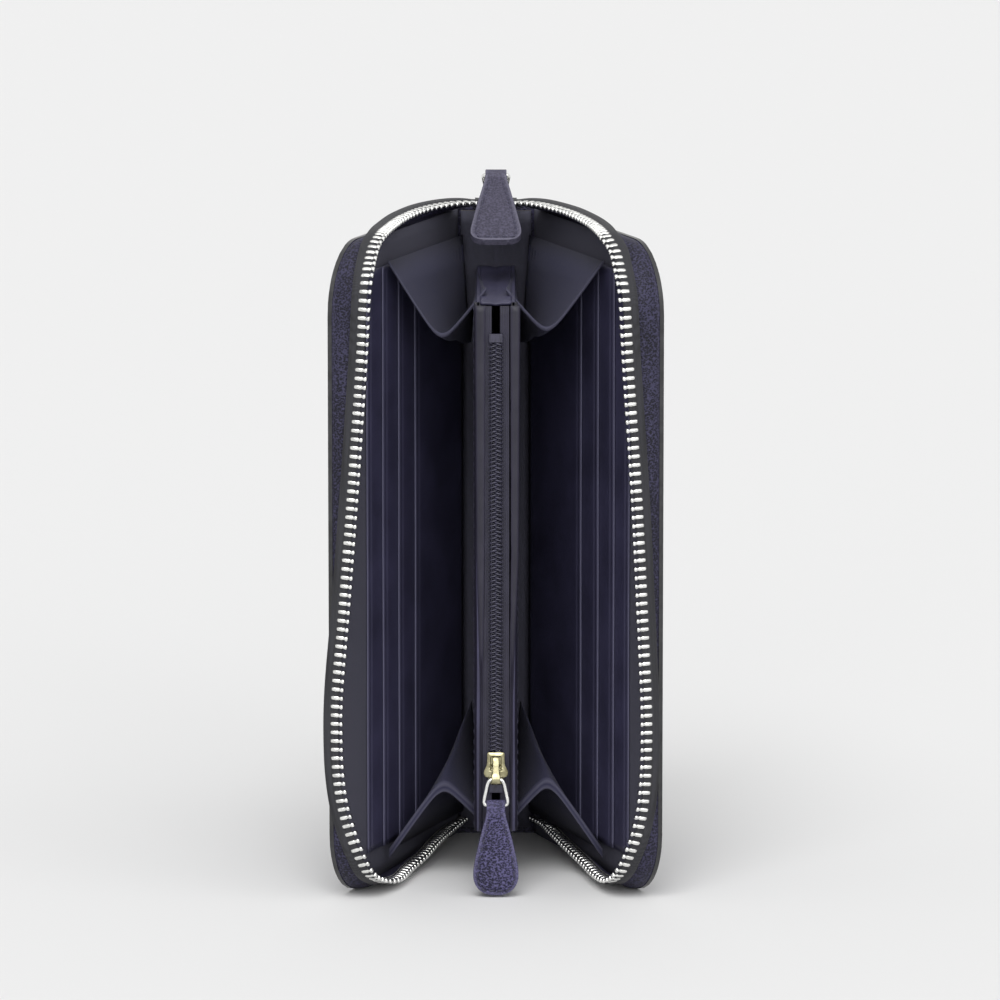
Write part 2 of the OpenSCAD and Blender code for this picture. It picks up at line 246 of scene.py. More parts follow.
def block_rings(half_w, half_h, round_r, steps=3):
    """A rounded rectangle's outline as pairs, centred on zero."""
    ring = []
    for cx, cy, start in ((1, 1, 0), (-1, 1, 90), (-1, -1, 180), (1, -1, 270)):
        for k in range(steps + 1):
            a = math.radians(start + 90 * k / steps)
            ring.append((cx * (half_w - round_r) + round_r * math.cos(a),
                         cy * (half_h - round_r) + round_r * math.sin(a)))
    return ring


def stitch_parts(path, normals, pitch=3.2, long=2.3, thick=0.28, proud=0.1):
    """Rounded thread stitches, one after another along a path on a surface."""
    path = np.array(path, float)
    normals = np.array(normals, float)
    run = run_length(path)
    parts = []
    count = int(run[-1] / pitch)
    for k in range(count):
        middle = (k + 0.5) * run[-1] / count
        rings = []
        for f in (-1, -0.8, -0.35, 0.35, 0.8, 1):
            at = middle + f * long / 2
            p = spot_at(at, run, path)
            n = unit(spot_at(at, run, normals))
            ahead = spot_at(at + 0.3, run, path) - spot_at(at - 0.3, run, path)
            across = unit(np.cross(unit(ahead), n))
            r = thick * (0.35 if abs(f) == 1 else 0.85 if abs(f) == 0.8 else 1)
            lift = proud - 0.25 * f * f
            rings.append([p + n * (lift + r * math.cos(a)) + across * r * 1.15 * math.sin(a)
                          for a in circle(6)])
        parts.append(tube(rings))
    return parts


def paint(obj, name, values):
    """Keeps one number for each point of a mesh, which a material reads."""
    layer = obj.data.attributes.new(name, "FLOAT", "POINT")
    layer.data.foreach_set("value", np.array(values, np.float32))


def bend(obj):
    """Bakes a piece's placement into its mesh; no weights are used to blend it between the spine and a
    cover.
    """
    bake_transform(obj)


def smoothstep(value, start, end):
    """Rises smoothly from 0 at start to 1 at end."""
    f = min(1.0, max(0.0, (value - start) / (end - start)))
    return f * f * (3 - 2 * f)


# ---------- materials ----------


def linear(r, g, b):
    """A colour given as 0-255 screen values, as the linear colour of a shader."""
    return tuple(c / 12.92 if c <= 0.04045 else ((c + 0.055) / 1.055) ** 2.4
                 for c in (r / 255, g / 255, b / 255)) + (1.0,)


class Nodes:
    """Short calls for building one material's nodes."""

    def __init__(self, name):
        self.material = bpy.data.materials.new(name)
        self.material.use_nodes = True
        self.tree = self.material.node_tree
        self.shader = self.tree.nodes["Principled BSDF"]
        self.place = self.add("ShaderNodeTexCoord").outputs["Object"]

    def add(self, kind, **settings):
        node = self.tree.nodes.new(kind)
        for key, value in settings.items():
            setattr(node, key, value)
        return node

    def link(self, a, b):
        self.tree.links.new(a, b)

    def feed(self, socket, value):
        """Sets a socket to a constant, or links it to another node's output."""
        if isinstance(value, (int, float, tuple)):
            socket.default_value = value
        else:
            self.link(value, socket)

    def texture(self, kind, per_mm, place, **inputs):
        node = self.add("ShaderNodeTex" + kind)
        node.inputs["Scale"].default_value = per_mm / MM
        for key, value in inputs.items():
            node.inputs[key].default_value = value
        self.link(place or self.place, node.inputs["Vector"])
        return node

    def noise(self, per_mm, detail=3.0, rough=0.55, place=None):
        return self.texture("Noise", per_mm, place, Detail=detail, Roughness=rough).outputs["Fac"]

    def cells(self, per_mm, place=None):
        return self.texture("Voronoi", per_mm, place).outputs["Distance"]

    def wave(self, per_mm, axis, distortion, place=None):
        node = self.texture("Wave", per_mm, place, Distortion=distortion)
        node.bands_direction = axis
        return node.outputs["Fac"]

    def turned(self, degrees, stretch=(1, 1, 1)):
        node = self.add("ShaderNodeMapping")
        node.inputs["Rotation"].default_value = [math.radians(d) for d in degrees]
        node.inputs["Scale"].default_value = stretch
        self.link(self.place, node.inputs["Vector"])
        return node.outputs["Vector"]

    def maths(self, operation, a, b):
        node = self.add("ShaderNodeMath", operation=operation)
        self.feed(node.inputs[0], a)
        self.feed(node.inputs[1], b)
        return node.outputs["Value"]

    def ramp(self, value, stops):
        node = self.add("ShaderNodeValToRGB")
        ramp = node.color_ramp
        while len(ramp.elements) < len(stops):
            ramp.elements.new(0.5)
        for element, (at, colour) in zip(ramp.elements, stops):
            element.position = at
            element.color = colour
        self.link(value, node.inputs["Fac"])
        return node.outputs["Color"]

    def mix(self, share, a, b):
        node = self.add("ShaderNodeMix", data_type="RGBA")
        self.feed(node.inputs[0], share)
        self.feed(node.inputs[6], a)
        self.feed(node.inputs[7], b)
        return node.outputs[2]

    def colour(self, value):
        self.link(value, self.shader.inputs["Base Color"])

    def rough(self, value, low, high):
        node = self.add("ShaderNodeMapRange")
        node.inputs["To Min"].default_value = low
        node.inputs["To Max"].default_value = high
        self.link(value, node.inputs["Value"])
        self.link(node.outputs["Result"], self.shader.inputs["Roughness"])

    def bump(self, height, strength, mm):
        node = self.add("ShaderNodeBump")
        node.inputs["Strength"].default_value = strength
        node.inputs["Distance"].default_value = mm * MM
        self.link(height, node.inputs["Height"])
        self.link(node.outputs["Normal"], self.shader.inputs["Normal"])

    def share(self, name):
        node = self.add("ShaderNodeAttribute", attribute_name=name)
        return node.outputs["Fac"]


def grained_leather(name, dark, light, grain, depth, strength, wear_and_highlight, stops=(0.56, 0.86)):
    """Cross-grained leather: pressed cells, fine creases, a slow change of shade."""
    n = Nodes(name)
    long_cells = n.cells(grain, place=n.turned((45, 20, 35), (1, 0.55, 1)))
    cells = n.cells(grain * 1.3, place=n.turned((-40, -25, 15), (0.6, 1, 0.9)))
    pressed = n.maths("MINIMUM", long_cells, cells)
    fine = n.noise(1.6, 4)
    height = n.maths("ADD", pressed, n.maths("MULTIPLY", fine, 0.5))
    patches = n.noise(0.035, 3)
    tone = n.maths("ADD", n.maths("MULTIPLY", patches, 0.35), n.maths("MULTIPLY", height, 0.75))
    colour = n.ramp(tone, ((stops[0], dark), (stops[1], light)))
    # Marked points turn lighter: wear on the outer skin's edges and fold, painted highlights along the wall
    # strip's edges, and lighter edges on the pulls.
    n.colour(n.mix(n.share("wear_and_highlight"), colour, wear_and_highlight))
    n.rough(n.maths("ADD", fine, n.maths("MULTIPLY", patches, 0.4)), 0.42, 0.62)
    n.bump(height, strength, depth)
    n.shader.inputs["Specular IOR Level"].default_value = 0.25
    return n.material


def smooth_leather(name, dark, light, wear_and_highlight):
    """Fine smooth leather with pores and soft wrinkles, lighter where points are marked: painted highlights
    on card pocket edges and creases, lighter front corners on the coin binding.
    """
    n = Nodes(name)
    pores = n.cells(1.6)
    fine = n.noise(5.0, 4)
    patches = n.noise(0.06, 3)
    tone = n.maths("ADD", n.maths("MULTIPLY", patches, 0.7), n.maths("MULTIPLY", fine, 0.3))
    colour = n.ramp(tone, ((0.3, dark), (0.7, light)))
    n.colour(n.mix(n.share("wear_and_highlight"), colour, wear_and_highlight))
    n.rough(n.maths("ADD", fine, n.maths("MULTIPLY", patches, 0.3)), 0.36, 0.52)
    n.bump(n.maths("ADD", pores, fine), 0.35, 0.06)
    n.shader.inputs["Specular IOR Level"].default_value = 0.36
    return n.material


def edge_paint(name, dark, light):
    """Thick painted leather edge: nearly smooth, with slow waves and small nicks."""
    n = Nodes(name)
    waves = n.noise(0.35, 2)
    nicks = n.cells(1.1)
    n.colour(n.ramp(waves, ((0.35, dark), (0.7, light))))
    n.rough(n.noise(2.0, 3), 0.28, 0.46)
    n.bump(n.maths("ADD", waves, n.maths("MULTIPLY", nicks, 0.25)), 0.5, 0.12)
    n.shader.inputs["Coat Weight"].default_value = 0.25
    n.shader.inputs["Coat Roughness"].default_value = 0.3
    return n.material


def woven(name, dark, light, per_mm, sheen, wear_and_highlight=None):
    """A woven cloth: two sets of threads in relief, with uneven yarn."""
    n = Nodes(name)
    one = n.wave(per_mm, "X", 0.6, n.turned((0, 45, 0)))
    two = n.wave(per_mm, "Z", 0.6, n.turned((0, 45, 0)))
    three = n.wave(per_mm, "Y", 0.6)
    weave = n.maths("MULTIPLY", n.maths("MAXIMUM", one, two), n.maths("ADD", three, 0.6))
    yarn = n.noise(1.4, 3)
    tone = n.maths("ADD", n.maths("MULTIPLY", weave, 0.5), n.maths("MULTIPLY", yarn, 0.4))
    colour = n.ramp(tone, ((0.25, dark), (0.8, light)))
    # Marked points turn lighter: painted highlights on the gussets' front edges, fold ridges and hems.
    if wear_and_highlight:
        colour = n.mix(n.share("wear_and_highlight"), colour, wear_and_highlight)
    n.colour(colour)
    n.rough(yarn, 0.62, 0.85)
    n.bump(n.maths("ADD", weave, n.maths("MULTIPLY", yarn, 0.4)), 0.55, 0.1)
    n.shader.inputs["Sheen Weight"].default_value = sheen
    n.shader.inputs["Sheen Roughness"].default_value = 0.45
    return n.material


def thread(name, dark, light):
    """Twisted sewing thread."""
    n = Nodes(name)
    twist = n.wave(1.7, "DIAGONAL", 1.0)
    n.colour(n.ramp(twist, ((0.2, dark), (0.8, light))))
    n.rough(n.noise(4.0), 0.5, 0.72)
    n.bump(twist, 0.6, 0.08)
    return n.material


def metal(name, dark, light, rough):
    """Plated and polished metal with fine scratches, dull spots and tarnish in places."""
    n = Nodes(name)
    lines = n.noise(1.4, 4, 0.6, n.turned((0, 25, 40), (1, 9, 1)))
    dull = n.noise(0.5, 3)
    n.colour(n.ramp(dull, ((0.32, dark), (0.62, light))))
    n.rough(n.maths("ADD", n.maths("MULTIPLY", lines, 0.5), n.maths("MULTIPLY", dull, 0.5)), *rough)
    n.bump(lines, 0.25, 0.1)
    n.shader.inputs["Metallic"].default_value = 1.0
    return n.material


def moulded(name, dark, light):
    """Slightly glossy nylon filament."""
    n = Nodes(name)
    streaks = n.noise(1.5, 3, 0.5, n.turned((0, 0, 0), (1, 1, 0.3)))
    n.colour(n.ramp(streaks, ((0.3, dark), (0.7, light))))
    n.rough(streaks, 0.3, 0.5)
    n.bump(n.noise(4.0), 0.3, 0.04)
    return n.material


# Each leather's last colour, and the gusset cloth's, is used at marked points: wear, and painted highlights
# on edges, creases and folds.
LOOKS = {
    "outer_leather": grained_leather("outer_leather", linear(15, 14, 25), linear(58, 56, 80),
                                     grain=1.5, depth=0.2, strength=1.0, wear_and_highlight=linear(84, 82, 102)),
    "edge_paint": edge_paint("edge_paint", linear(22, 22, 24), linear(44, 44, 46)),
    "inner_leather": smooth_leather("inner_leather", linear(42, 41, 60), linear(64, 62, 88),
                                    linear(104, 103, 126)),
    "binding_leather": smooth_leather("binding_leather", linear(24, 23, 34), linear(37, 35, 49),
                                      linear(72, 70, 86)),
    "pull_leather": grained_leather("pull_leather", linear(46, 44, 58), linear(80, 77, 96),
                                    grain=1.4, depth=0.12, strength=0.6, wear_and_highlight=linear(104, 102, 118),
                                    stops=(0.44, 0.9)),
    "coin_pull_leather": grained_leather("coin_pull_leather", linear(25, 23, 43), linear(88, 84, 122),
                                         grain=1.6, depth=0.3, strength=1.0, wear_and_highlight=linear(96, 93, 124)),
    "board": smooth_leather("board", linear(70, 66, 60), linear(92, 88, 80), linear(120, 116, 108)),
    "lining": woven("lining", linear(44, 44, 56), linear(70, 69, 86), 1.3, 0.04),
    "gusset_lining": woven("gusset_lining", linear(22, 22, 46), linear(40, 39, 70), 1.5, 0.05,
                           wear_and_highlight=linear(74, 73, 92)),
    "zip_tape": woven("zip_tape", linear(18, 18, 22), linear(44, 44, 50), 0.9, 0.08),
    "coin_tape": woven("coin_tape", linear(22, 21, 32), linear(46, 44, 62), 0.9, 0.08),
    "coil": moulded("coil", linear(34, 33, 48), linear(58, 56, 76)),
    "thread": thread("thread", linear(30, 29, 44), linear(70, 68, 92)),
    "zip_metal": metal("zip_metal", linear(212, 212, 210), linear(246, 246, 243), (0.16, 0.34)),
    "pale_gold_metal": metal("pale_gold_metal", linear(136, 130, 100), linear(182, 176, 142), (0.12, 0.28)),
}


# ---------- stage, lights and camera ----------


BACKDROP = 0.871
FLOOR_PAINT = 0.78
FLOOR_SIZE = 12.0
ROOM = ((0.0, 0.30), (0.9, 0.62))
# Name, strength, turn and spread of each lamp, in degrees.
LAMPS = (("key", 1.45, (36, 0, -12), 35), ("side", 0.5, (50, 0, 40), 60), ("front", 1.1, (72, 0, 6), 50))
CAMERA_AIM = Vector((0.0012, 0.0, 0.1106))
CAMERA_AWAY = 2.3
CAMERA_DOWN = 10
CAMERA_LENS = 281.6


def grey(shade):
    """A neutral colour."""
    return (shade, shade, shade, 1)


def make_stage():
    """A pale matt floor that reaches far behind the object."""
    n = Nodes("floor")
    n.shader.inputs["Base Color"].default_value = grey(FLOOR_PAINT)
    n.shader.inputs["Roughness"].default_value = 0.9
    n.shader.inputs["Specular IOR Level"].default_value = 0.0
    mesh = bpy.data.meshes.new("floor")
    floor_z = CAD_BOX[0].z - 0.0002
    corners = ((-1, -1), (1, -1), (1, 1), (-1, 1))
    mesh.from_pydata([(x * FLOOR_SIZE, y * FLOOR_SIZE, floor_z) for x, y in corners], [], [(0, 1, 2, 3)])
    mesh.materials.append(n.material)
    floor = bpy.data.objects.new("floor", mesh)
    bpy.context.scene.collection.objects.link(floor)


def make_lights():
    """A soft key lamp from the front above, and a pale room all round."""
    world = bpy.data.worlds.new("room")
    bpy.context.scene.world = world
    world.use_nodes = True
    tree = world.node_tree
    back = tree.nodes["Background"]
    place = tree.nodes.new("ShaderNodeTexCoord")
    split = tree.nodes.new("ShaderNodeSeparateXYZ")
    ramp = tree.nodes.new("ShaderNodeValToRGB")
    tree.links.new(place.outputs["Generated"], split.inputs["Vector"])
    tree.links.new(split.outputs["Z"], ramp.inputs["Fac"])
    for element, (at, shade) in zip(ramp.color_ramp.elements, ROOM):
        element.position = at
        element.color = grey(shade)
    path = tree.nodes.new("ShaderNodeLightPath")
    mix = tree.nodes.new("ShaderNodeMix")
    mix.data_type = "RGBA"
    either = tree.nodes.new("ShaderNodeMath")
    either.operation = "MAXIMUM"
    tree.links.new(path.outputs["Is Camera Ray"], either.inputs[0])
    tree.links.new(path.outputs["Is Glossy Ray"], either.inputs[1])
    tree.links.new(either.outputs["Value"], mix.inputs[0])
    tree.links.new(ramp.outputs["Color"], mix.inputs[6])
    mix.inputs[7].default_value = grey(BACKDROP)
    tree.links.new(mix.outputs[2], back.inputs["Color"])
    for name, energy, turn, spread in LAMPS:
        lamp = bpy.data.lights.new(name, "SUN")
        lamp.energy = energy
        lamp.angle = math.radians(spread)
        obj = bpy.data.objects.new(name, lamp)
        obj.rotation_euler = [math.radians(a) for a in turn]
        bpy.context.scene.collection.objects.link(obj)


def make_camera():
    """A long lens from the front, ten degrees above the horizon."""
    data = bpy.data.cameras.new("camera")
    data.sensor_width = 36
    data.lens = CAMERA_LENS
    data.clip_end = 50
    camera = bpy.data.objects.new("camera", data)
    bpy.context.scene.collection.objects.link(camera)
    down = math.radians(CAMERA_DOWN)
    camera.location = CAMERA_AIM + CAMERA_AWAY * Vector((0, -math.cos(down), math.sin(down)))
    camera.rotation_euler = (math.radians(90 - CAMERA_DOWN), 0, 0)
    bpy.context.scene.camera = camera
    bpy.context.scene.view_settings.view_transform = "Standard"


# ---------- covers and spine ----------


def low_end(u):
    """The height where a cover starts at u, with its rounded corner."""
    over = u - (DEPTH - CORNER_R)
    return 0.0 if over <= 0 else CORNER_R - math.sqrt(max(0.0, CORNER_R**2 - over**2))


def border_distance(u, z):
    """How far a point of a cover is from the cover's three free sides."""
    du = u - (DEPTH - CORNER_R)
    dz = abs(z - LENGTH / 2) - (LENGTH / 2 - CORNER_R)
    if du > 0 and dz > 0:
        return CORNER_R - math.hypot(du, dz)
    return CORNER_R - max(du, dz)


SEAM_IN = 2.3
FOLD_TURN = math.pi / 2 - OPEN
FOLD_CUT = FOLD_R * math.tan(FOLD_TURN / 2)
NEAR_EDGE = (0.0, 0.35, 0.8, 1.3, 1.8, 2.3, 2.8, 3.5, 4.6, 6.5, 9.5, 13.5)


def skin(side, q, t, z):
    """A point q from the spine's middle round the fold along the skin, t inward.

    Returns the point, its distance u along the cover and its share of the fold.
    """
    spine = HALF_T - FOLD_CUT
    arc = FOLD_R * FOLD_TURN
    if q <= spine:
        return (side * q, t, z), 0.0, 0.0
    if q < spine + arc:
        a = (q - spine) / FOLD_R
        r = FOLD_R - t
        x = spine + r * math.sin(a)
        return (side * x, FOLD_R - r * math.cos(a), z), 0.0, a / FOLD_TURN
    u = FOLD_CUT + q - spine - arc
    return cover_point(side, u, t, z), u, 1.0


def skin_columns(first, last):
    """Places q along the skin, closer together at the fold and the free edge."""
    spine = HALF_T - FOLD_CUT
    arc = FOLD_R * FOLD_TURN
    end = spine + arc + last - FOLD_CUT
    q = [first]
    q += list(np.linspace(first, spine, 7))[1:]
    q += list(np.linspace(spine, spine + arc, 9))[1:]
    q += list(np.linspace(spine + arc, end - 16, 34))[1:]
    q += [end - f for f in reversed(NEAR_EDGE)]
    return q


def ripple(u, z, seed):
    """Slow unevenness of leather over its board."""
    return (0.10 * math.sin(u * 0.11 + seed) * math.sin(z * 0.047 + 2.1 * seed)
            + 0.05 * math.sin(u * 0.29 + z * 0.13 + seed))


def stitch_dip(distance, at=SEAM_IN, depth=0.28, width=0.8):
    """How far a line of stitches pulls the leather down."""
    return depth * math.exp(-((distance - at) / width) ** 2)


def make_outer_leather(name, side):
    """One half of the outer leather: half the spine, the fold and a cover."""
    columns = skin_columns(0.0, DEPTH)
    rows_f = list(NEAR_EDGE) + list(np.linspace(18, LENGTH - 18, 46))
    rows_f += [LENGTH - f for f in reversed(NEAR_EDGE)]
    outer, inner, weights, wear_and_highlight = [], [], [], []
    for q in columns:
        u, share = skin(side, q, 0, 0)[1:]
        low = low_end(u)
        top, under = [], []
        for f in rows_f:
            near = f < 16 or f > LENGTH - 16
            z = low + f if f < 16 else LENGTH - low - (LENGTH - f) if near else (
                low + 16 + (f - 18) * (LENGTH - 2 * low - 32) / (LENGTH - 36))
            edge = border_distance(u, z) if u > 0 else min(z, LENGTH - z)
            dip = stitch_dip(edge)
            puff = 0.0 if u == 0 else ripple(u, z, side + 3) * smoothstep(edge, 3, 14)
            sunk = dip + max(0.0, 0.18 + puff) * smoothstep(edge, 0, 12) * (u > 0)
            top.append(skin(side, q, sunk, z)[0])
            under.append(skin(side, q, LEATHER_T, z)[0])
            weights.append(share)
            wear_and_highlight.append(0.5 * math.exp(-(edge / 0.5) ** 2) + 0.25 * (0 < share < 1))
        outer.append(top)
        inner.append(under)
    obj = add_slab(name + "_outer_skin", outer, inner, ("outer_leather", "edge_paint"),
                   node=name + "_outer_leather", wear_and_highlight=wear_and_highlight)
    bend(obj)
    round_edges(obj, 0.3)
    if side < 0:
        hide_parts("spine_leather")


def outline_run(inset, start_u, step=1.5):
    """Points (u, z) along a cover's three free sides at an inset, from the top round."""
    r = CORNER_R - inset
    far = DEPTH - inset
    run = [(u, LENGTH - inset) for u in np.arange(start_u, DEPTH - CORNER_R, step)]
    run += [(DEPTH - CORNER_R + r * math.sin(a), LENGTH - CORNER_R + r * math.cos(a))
            for a in np.linspace(0, math.pi / 2, 22)]
    run += [(far, z) for z in np.arange(LENGTH - CORNER_R - step, CORNER_R, -step)]
    run += [(DEPTH - CORNER_R + r * math.cos(a), CORNER_R - r * math.sin(a))
            for a in np.linspace(0, math.pi / 2, 22)]
    run += [(u, inset) for u in np.arange(DEPTH - CORNER_R - step, start_u, -step)]
    return run


def make_cover_stitches(name, side):
    """The row of stitches along a cover's three free sides, on its outer face."""
    path = [cover_point(side, u, 0.3, z) for u, z in outline_run(SEAM_IN, 8)]
    parts = stitch_parts(path, [-inward(side)] * len(path))
    add_parts(name + "_cover_stitches", parts, "thread", name + "_cover")


def make_spine_stitches():
    """Short stitch rows across the spine at both ends."""
    parts = []
    for z in (SEAM_IN, LENGTH - SEAM_IN):
        path = [(x, 0.3, z) for x in np.linspace(-9.5, 9.5, 12)]
        parts += stitch_parts(path, [(0, -1, 0)] * len(path))
    add_parts("spine_stitches", parts, "thread", "core")


def make_lining(name, side):
    """The cloth lining on the inner face of a cover, softly uneven."""
    inset = 1.2
    columns = list(np.linspace(4.0, DEPTH - CORNER_R, 30))
    columns += list(DEPTH - CORNER_R + (CORNER_R - inset) * np.sin(np.linspace(0.1, math.pi / 2, 14)))
    outer, inner = [], []
    for u in columns:
        over = max(0.0, u - (DEPTH - CORNER_R))
        low = CORNER_R - math.sqrt(max(0.0, (CORNER_R - inset) ** 2 - over**2))
        zs = np.linspace(low, LENGTH - low, 56)
        outer.append([cover_point(side, u, LINING_T0, z) for z in zs])
        inner.append([cover_point(side, u, LINING_T1 - 0.06 * (1 + ripple(u, z, 5) * 5), z) for z in zs])
    add_slab(name + "_lining_cloth", outer, inner, "lining", name + "_cover", name + "_lining")


def make_spine_lining():
    """The cloth lining inside the spine, with a soft channel down its middle."""
    lo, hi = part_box("spine_lining")
    half = hi.x / MM
    s0 = SPINE_Y - hi.y / MM
    s1 = SPINE_Y - lo.y / MM
    zs = np.linspace(lo.z / MM, hi.z / MM, 50)
    outer, inner = [], []
    for x in np.linspace(-half, half, 21):
        outer.append([(x, s0, z) for z in zs])
        dip = 0.12 * math.exp(-(x / 1.2) ** 2)
        inner.append([(x, s1 - dip - 0.04 * abs(math.sin(z * 0.2 + x)), z) for z in zs])
    add_slab("spine_lining_cloth", outer, inner, "lining", "core", "spine_lining")


# ---------- the main zip ----------


def front_points(pairs):
    """Places of a tooth row down the front of a cover, from (t, z, inset)."""
    return [(HALF_T + (DEPTH - inset) * SIN - t * COS, (DEPTH - inset) * COS + t * SIN, z)
            for t, z, inset in pairs]


# Middle of each tooth row as (distance from the middle plane, s, z): out of the slider along
# the top, down the front and back along the bottom to the spine. Tape is soft, so the two differ.
ROWS = {
    "left": ([(2.7, 12.6, 193.3), (4.2, 14.4, 193.6), (7.2, 16.4, 194.1), (12.3, 20.6, 194.5),
              (20.5, 31.5, 194.5), (27, 47, 194), (30.8, 63, 193.5), (33.2, 77, 193),
              (34.9, 82.7, 191), (35.8, 87, 188.5)]
             + front_points([(11.5, 181, 1.0), (10.3, 160, 0.8), (7.5, 119, 0.2), (4.9, 85, -0.4),
                             (3.0, 62, -0.8), (2.7, 50, -0.8), (3.1, 38, -0.6), (4.4, 28, 0.0),
                             (6.5, 20, 0.9)])
             + [(39.7, 94.4, 14), (37, 92, 8.2), (33.4, 85, 4.3), (29.4, 77, 2.7), (25.5, 62, 3),
                (21.7, 51, 4), (17.9, 35, 4.9), (14.4, 20, 4.9), (10.2, 4.6, 5.1)]),
    "right": ([(2.7, 12.6, 193.3), (4.2, 14.4, 193.6), (7.0, 16.4, 194.1), (11.8, 21.5, 194.5),
               (20.1, 36.7, 194.5), (24.2, 47.6, 194.3), (28.3, 61.2, 193.8), (31.5, 78, 192.8),
               (34.2, 84.4, 189.5), (35.3, 89.2, 185.8)]
              + front_points([(12.0, 178, 1.0), (11.0, 160, 0.8), (8.3, 119, 0.2), (6.6, 85, -0.2),
                              (5.5, 60, -0.6), (5.3, 50, -0.6), (5.5, 38, -0.4), (6.3, 28, 0.0),
                              (7.8, 20, 0.9)])
              + [(38.7, 94, 14), (36.1, 91.5, 8.2), (33.2, 85, 4.3), (30, 75, 3.4), (26.5, 62, 4.2),
                 (21.5, 45, 5.4), (17.7, 30, 6), (14.6, 15, 6), (11.2, 4.6, 5.6)]),
}
# Depth t at which a row would meet its partner, as the covers close.
MET_T = 11.0


def outline_near(u, z):
    """The nearest point of a cover's free outline to (u, z), and the way inward there."""
    corner_u = DEPTH - CORNER_R
    for corner_z, way in ((CORNER_R, -1), (LENGTH - CORNER_R, 1)):
        if u > corner_u and way * (z - corner_z) > 0:
            d = unit(np.array((u - corner_u, z - corner_z)))
            return (corner_u + CORNER_R * d[0], corner_z + CORNER_R * d[1]), -d
    if u > corner_u and CORNER_R <= z <= LENGTH - CORNER_R:
        return (DEPTH, z), np.array((-1.0, 0.0))
    high = z > LENGTH / 2
    return (u, LENGTH if high else 0.0), np.array((0.0, -1.0 if high else 1.0))


def row_weight(x, s, z):
    """How far a place of the tooth row follows its cover.

    It is 0 in the slider, which stays on the spine. Further on it is a little over 1,
    because the soft tape swings in to meet its partner as the wallet is closed.
    """
    u = (abs(x) - HALF_T) * SIN + s * COS
    t = -(abs(x) - HALF_T) * COS + s * SIN
    extra = (MET_T - t) / (max(u, 12.0) * OPEN)
    full = 1.0 + min(0.55, max(0.0, extra)) * smoothstep(s, 20, 45)
    return full * smoothstep(s, 12.8, 40) if z > LENGTH / 2 else full


def zip_stations(name, side):
    """Along one row: its middle, the way inward, its normal, and its place on the outline."""
    path = smooth_curve([(side * x, s, z) for x, s, z in ROWS[name]], TOOTH_PITCH / 2)
    ahead = tangents(path)
    stations = []
    for p, along in zip(path, ahead):
        aim = inward(side)
        way = unit(aim - along * np.dot(aim, along))
        up = unit(np.cross(along, way)) * (-side)
        u = (abs(p[0]) - HALF_T) * SIN + p[1] * COS
        t = -(abs(p[0]) - HALF_T) * COS + p[1] * SIN
        (ue, ze), into = outline_near(u, p[2])
        inset = (u - ue) * into[0] + (p[2] - ze) * into[1]
        stations.append({"p": p, "along": along, "way": way, "up": up, "u": max(u, 3.2), "t": t,
                         "ue": max(ue, 3.2), "ze": ze, "into": into, "inset": inset,
                         "weight": row_weight(*p)})
    return stations


TOOTH = ((-2.0, 0.34, 0.35), (-1.85, 0.54, 0.62), (-1.2, 0.62, 0.80), (-0.2, 0.60, 0.76),
         (0.4, 0.62, 0.58), (0.9, 0.46, 0.46), (1.3, 0.66, 0.70), (1.7, 0.66, 0.68),
         (1.95, 0.40, 0.42))


def tooth_part(station, scale=1.0):
    """One metal tooth: legs pinched over the tape's cord, a waist and a head."""
    p, along, way, up = (station[k] for k in ("p", "along", "way", "up"))
    rings = []
    for w, a, h in TOOTH:
        ring = block_rings(a * scale, h * scale, min(a, h) * 0.42 * scale, 1)
        rings.append([p + way * w * scale + along * i + up * k for i, k in ring])
    return tube(rings)


TAPE_SECTION = ((-3.6, -1.0), (-2.2, -0.55), (-1.5, 0.1), (-0.3, 0.42), (0.35, 0.36), (0.6, 0.0),
                (0.35, -0.42), (-0.3, -0.5), (-1.5, -0.45), (-2.2, -1.0), (-3.6, -1.4))


def make_row(name, stations):
    """The row of metal teeth, and the tape with its cord that carries them."""
    teeth = [tooth_part(st) for st in stations[::2]]
    obj = add_parts(name + "_tooth_row", teeth, "zip_metal")
    bend(obj)
    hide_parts(name + "_zip_teeth")

    rings = [[st["p"] + st["way"] * w + st["up"] * h for w, h in TAPE_SECTION] for st in stations]
    obj = add_parts(name + "_tape_edge", [tube(rings)], "zip_tape")
    bend(obj)
    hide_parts(name + "_zip_tape", name + "_zip_bridge")


WALL_STEPS = 9
WALL_T = 0.9


def wall_section(side, st):
    """Points across the leather wall, from a cover's edge to the teeth, with weights."""
    ue, ze, into = st["ue"], st["ze"], st["into"]
    room = max(0.5, st["t"] - 1.3 - 1.95)
    bulge = 0.9 * min(1.0, room / 5.0)
    start = (1.25, 0.3)
    end = (max(st["t"] - 1.95, 1.9), st["inset"] - 0.05)
    h1 = (start[0] + room * 0.4, start[1] - bulge)
    h2 = (end[0] - room * 0.35, end[1] - bulge * 0.6)
    row = []
    for f in np.linspace(0, 1, WALL_STEPS):
        g = 1 - f
        t, inset = (g**3 * a + 3 * g * g * f * b + 3 * g * f * f * c + f**3 * d
                    for a, b, c, d in zip(start, h1, h2, end))
        p = cover_point(side, ue + into[0] * inset, t, ze + into[1] * inset)
        row.append((np.array(p), 1 + (st["weight"] - 1) * f))
    return row


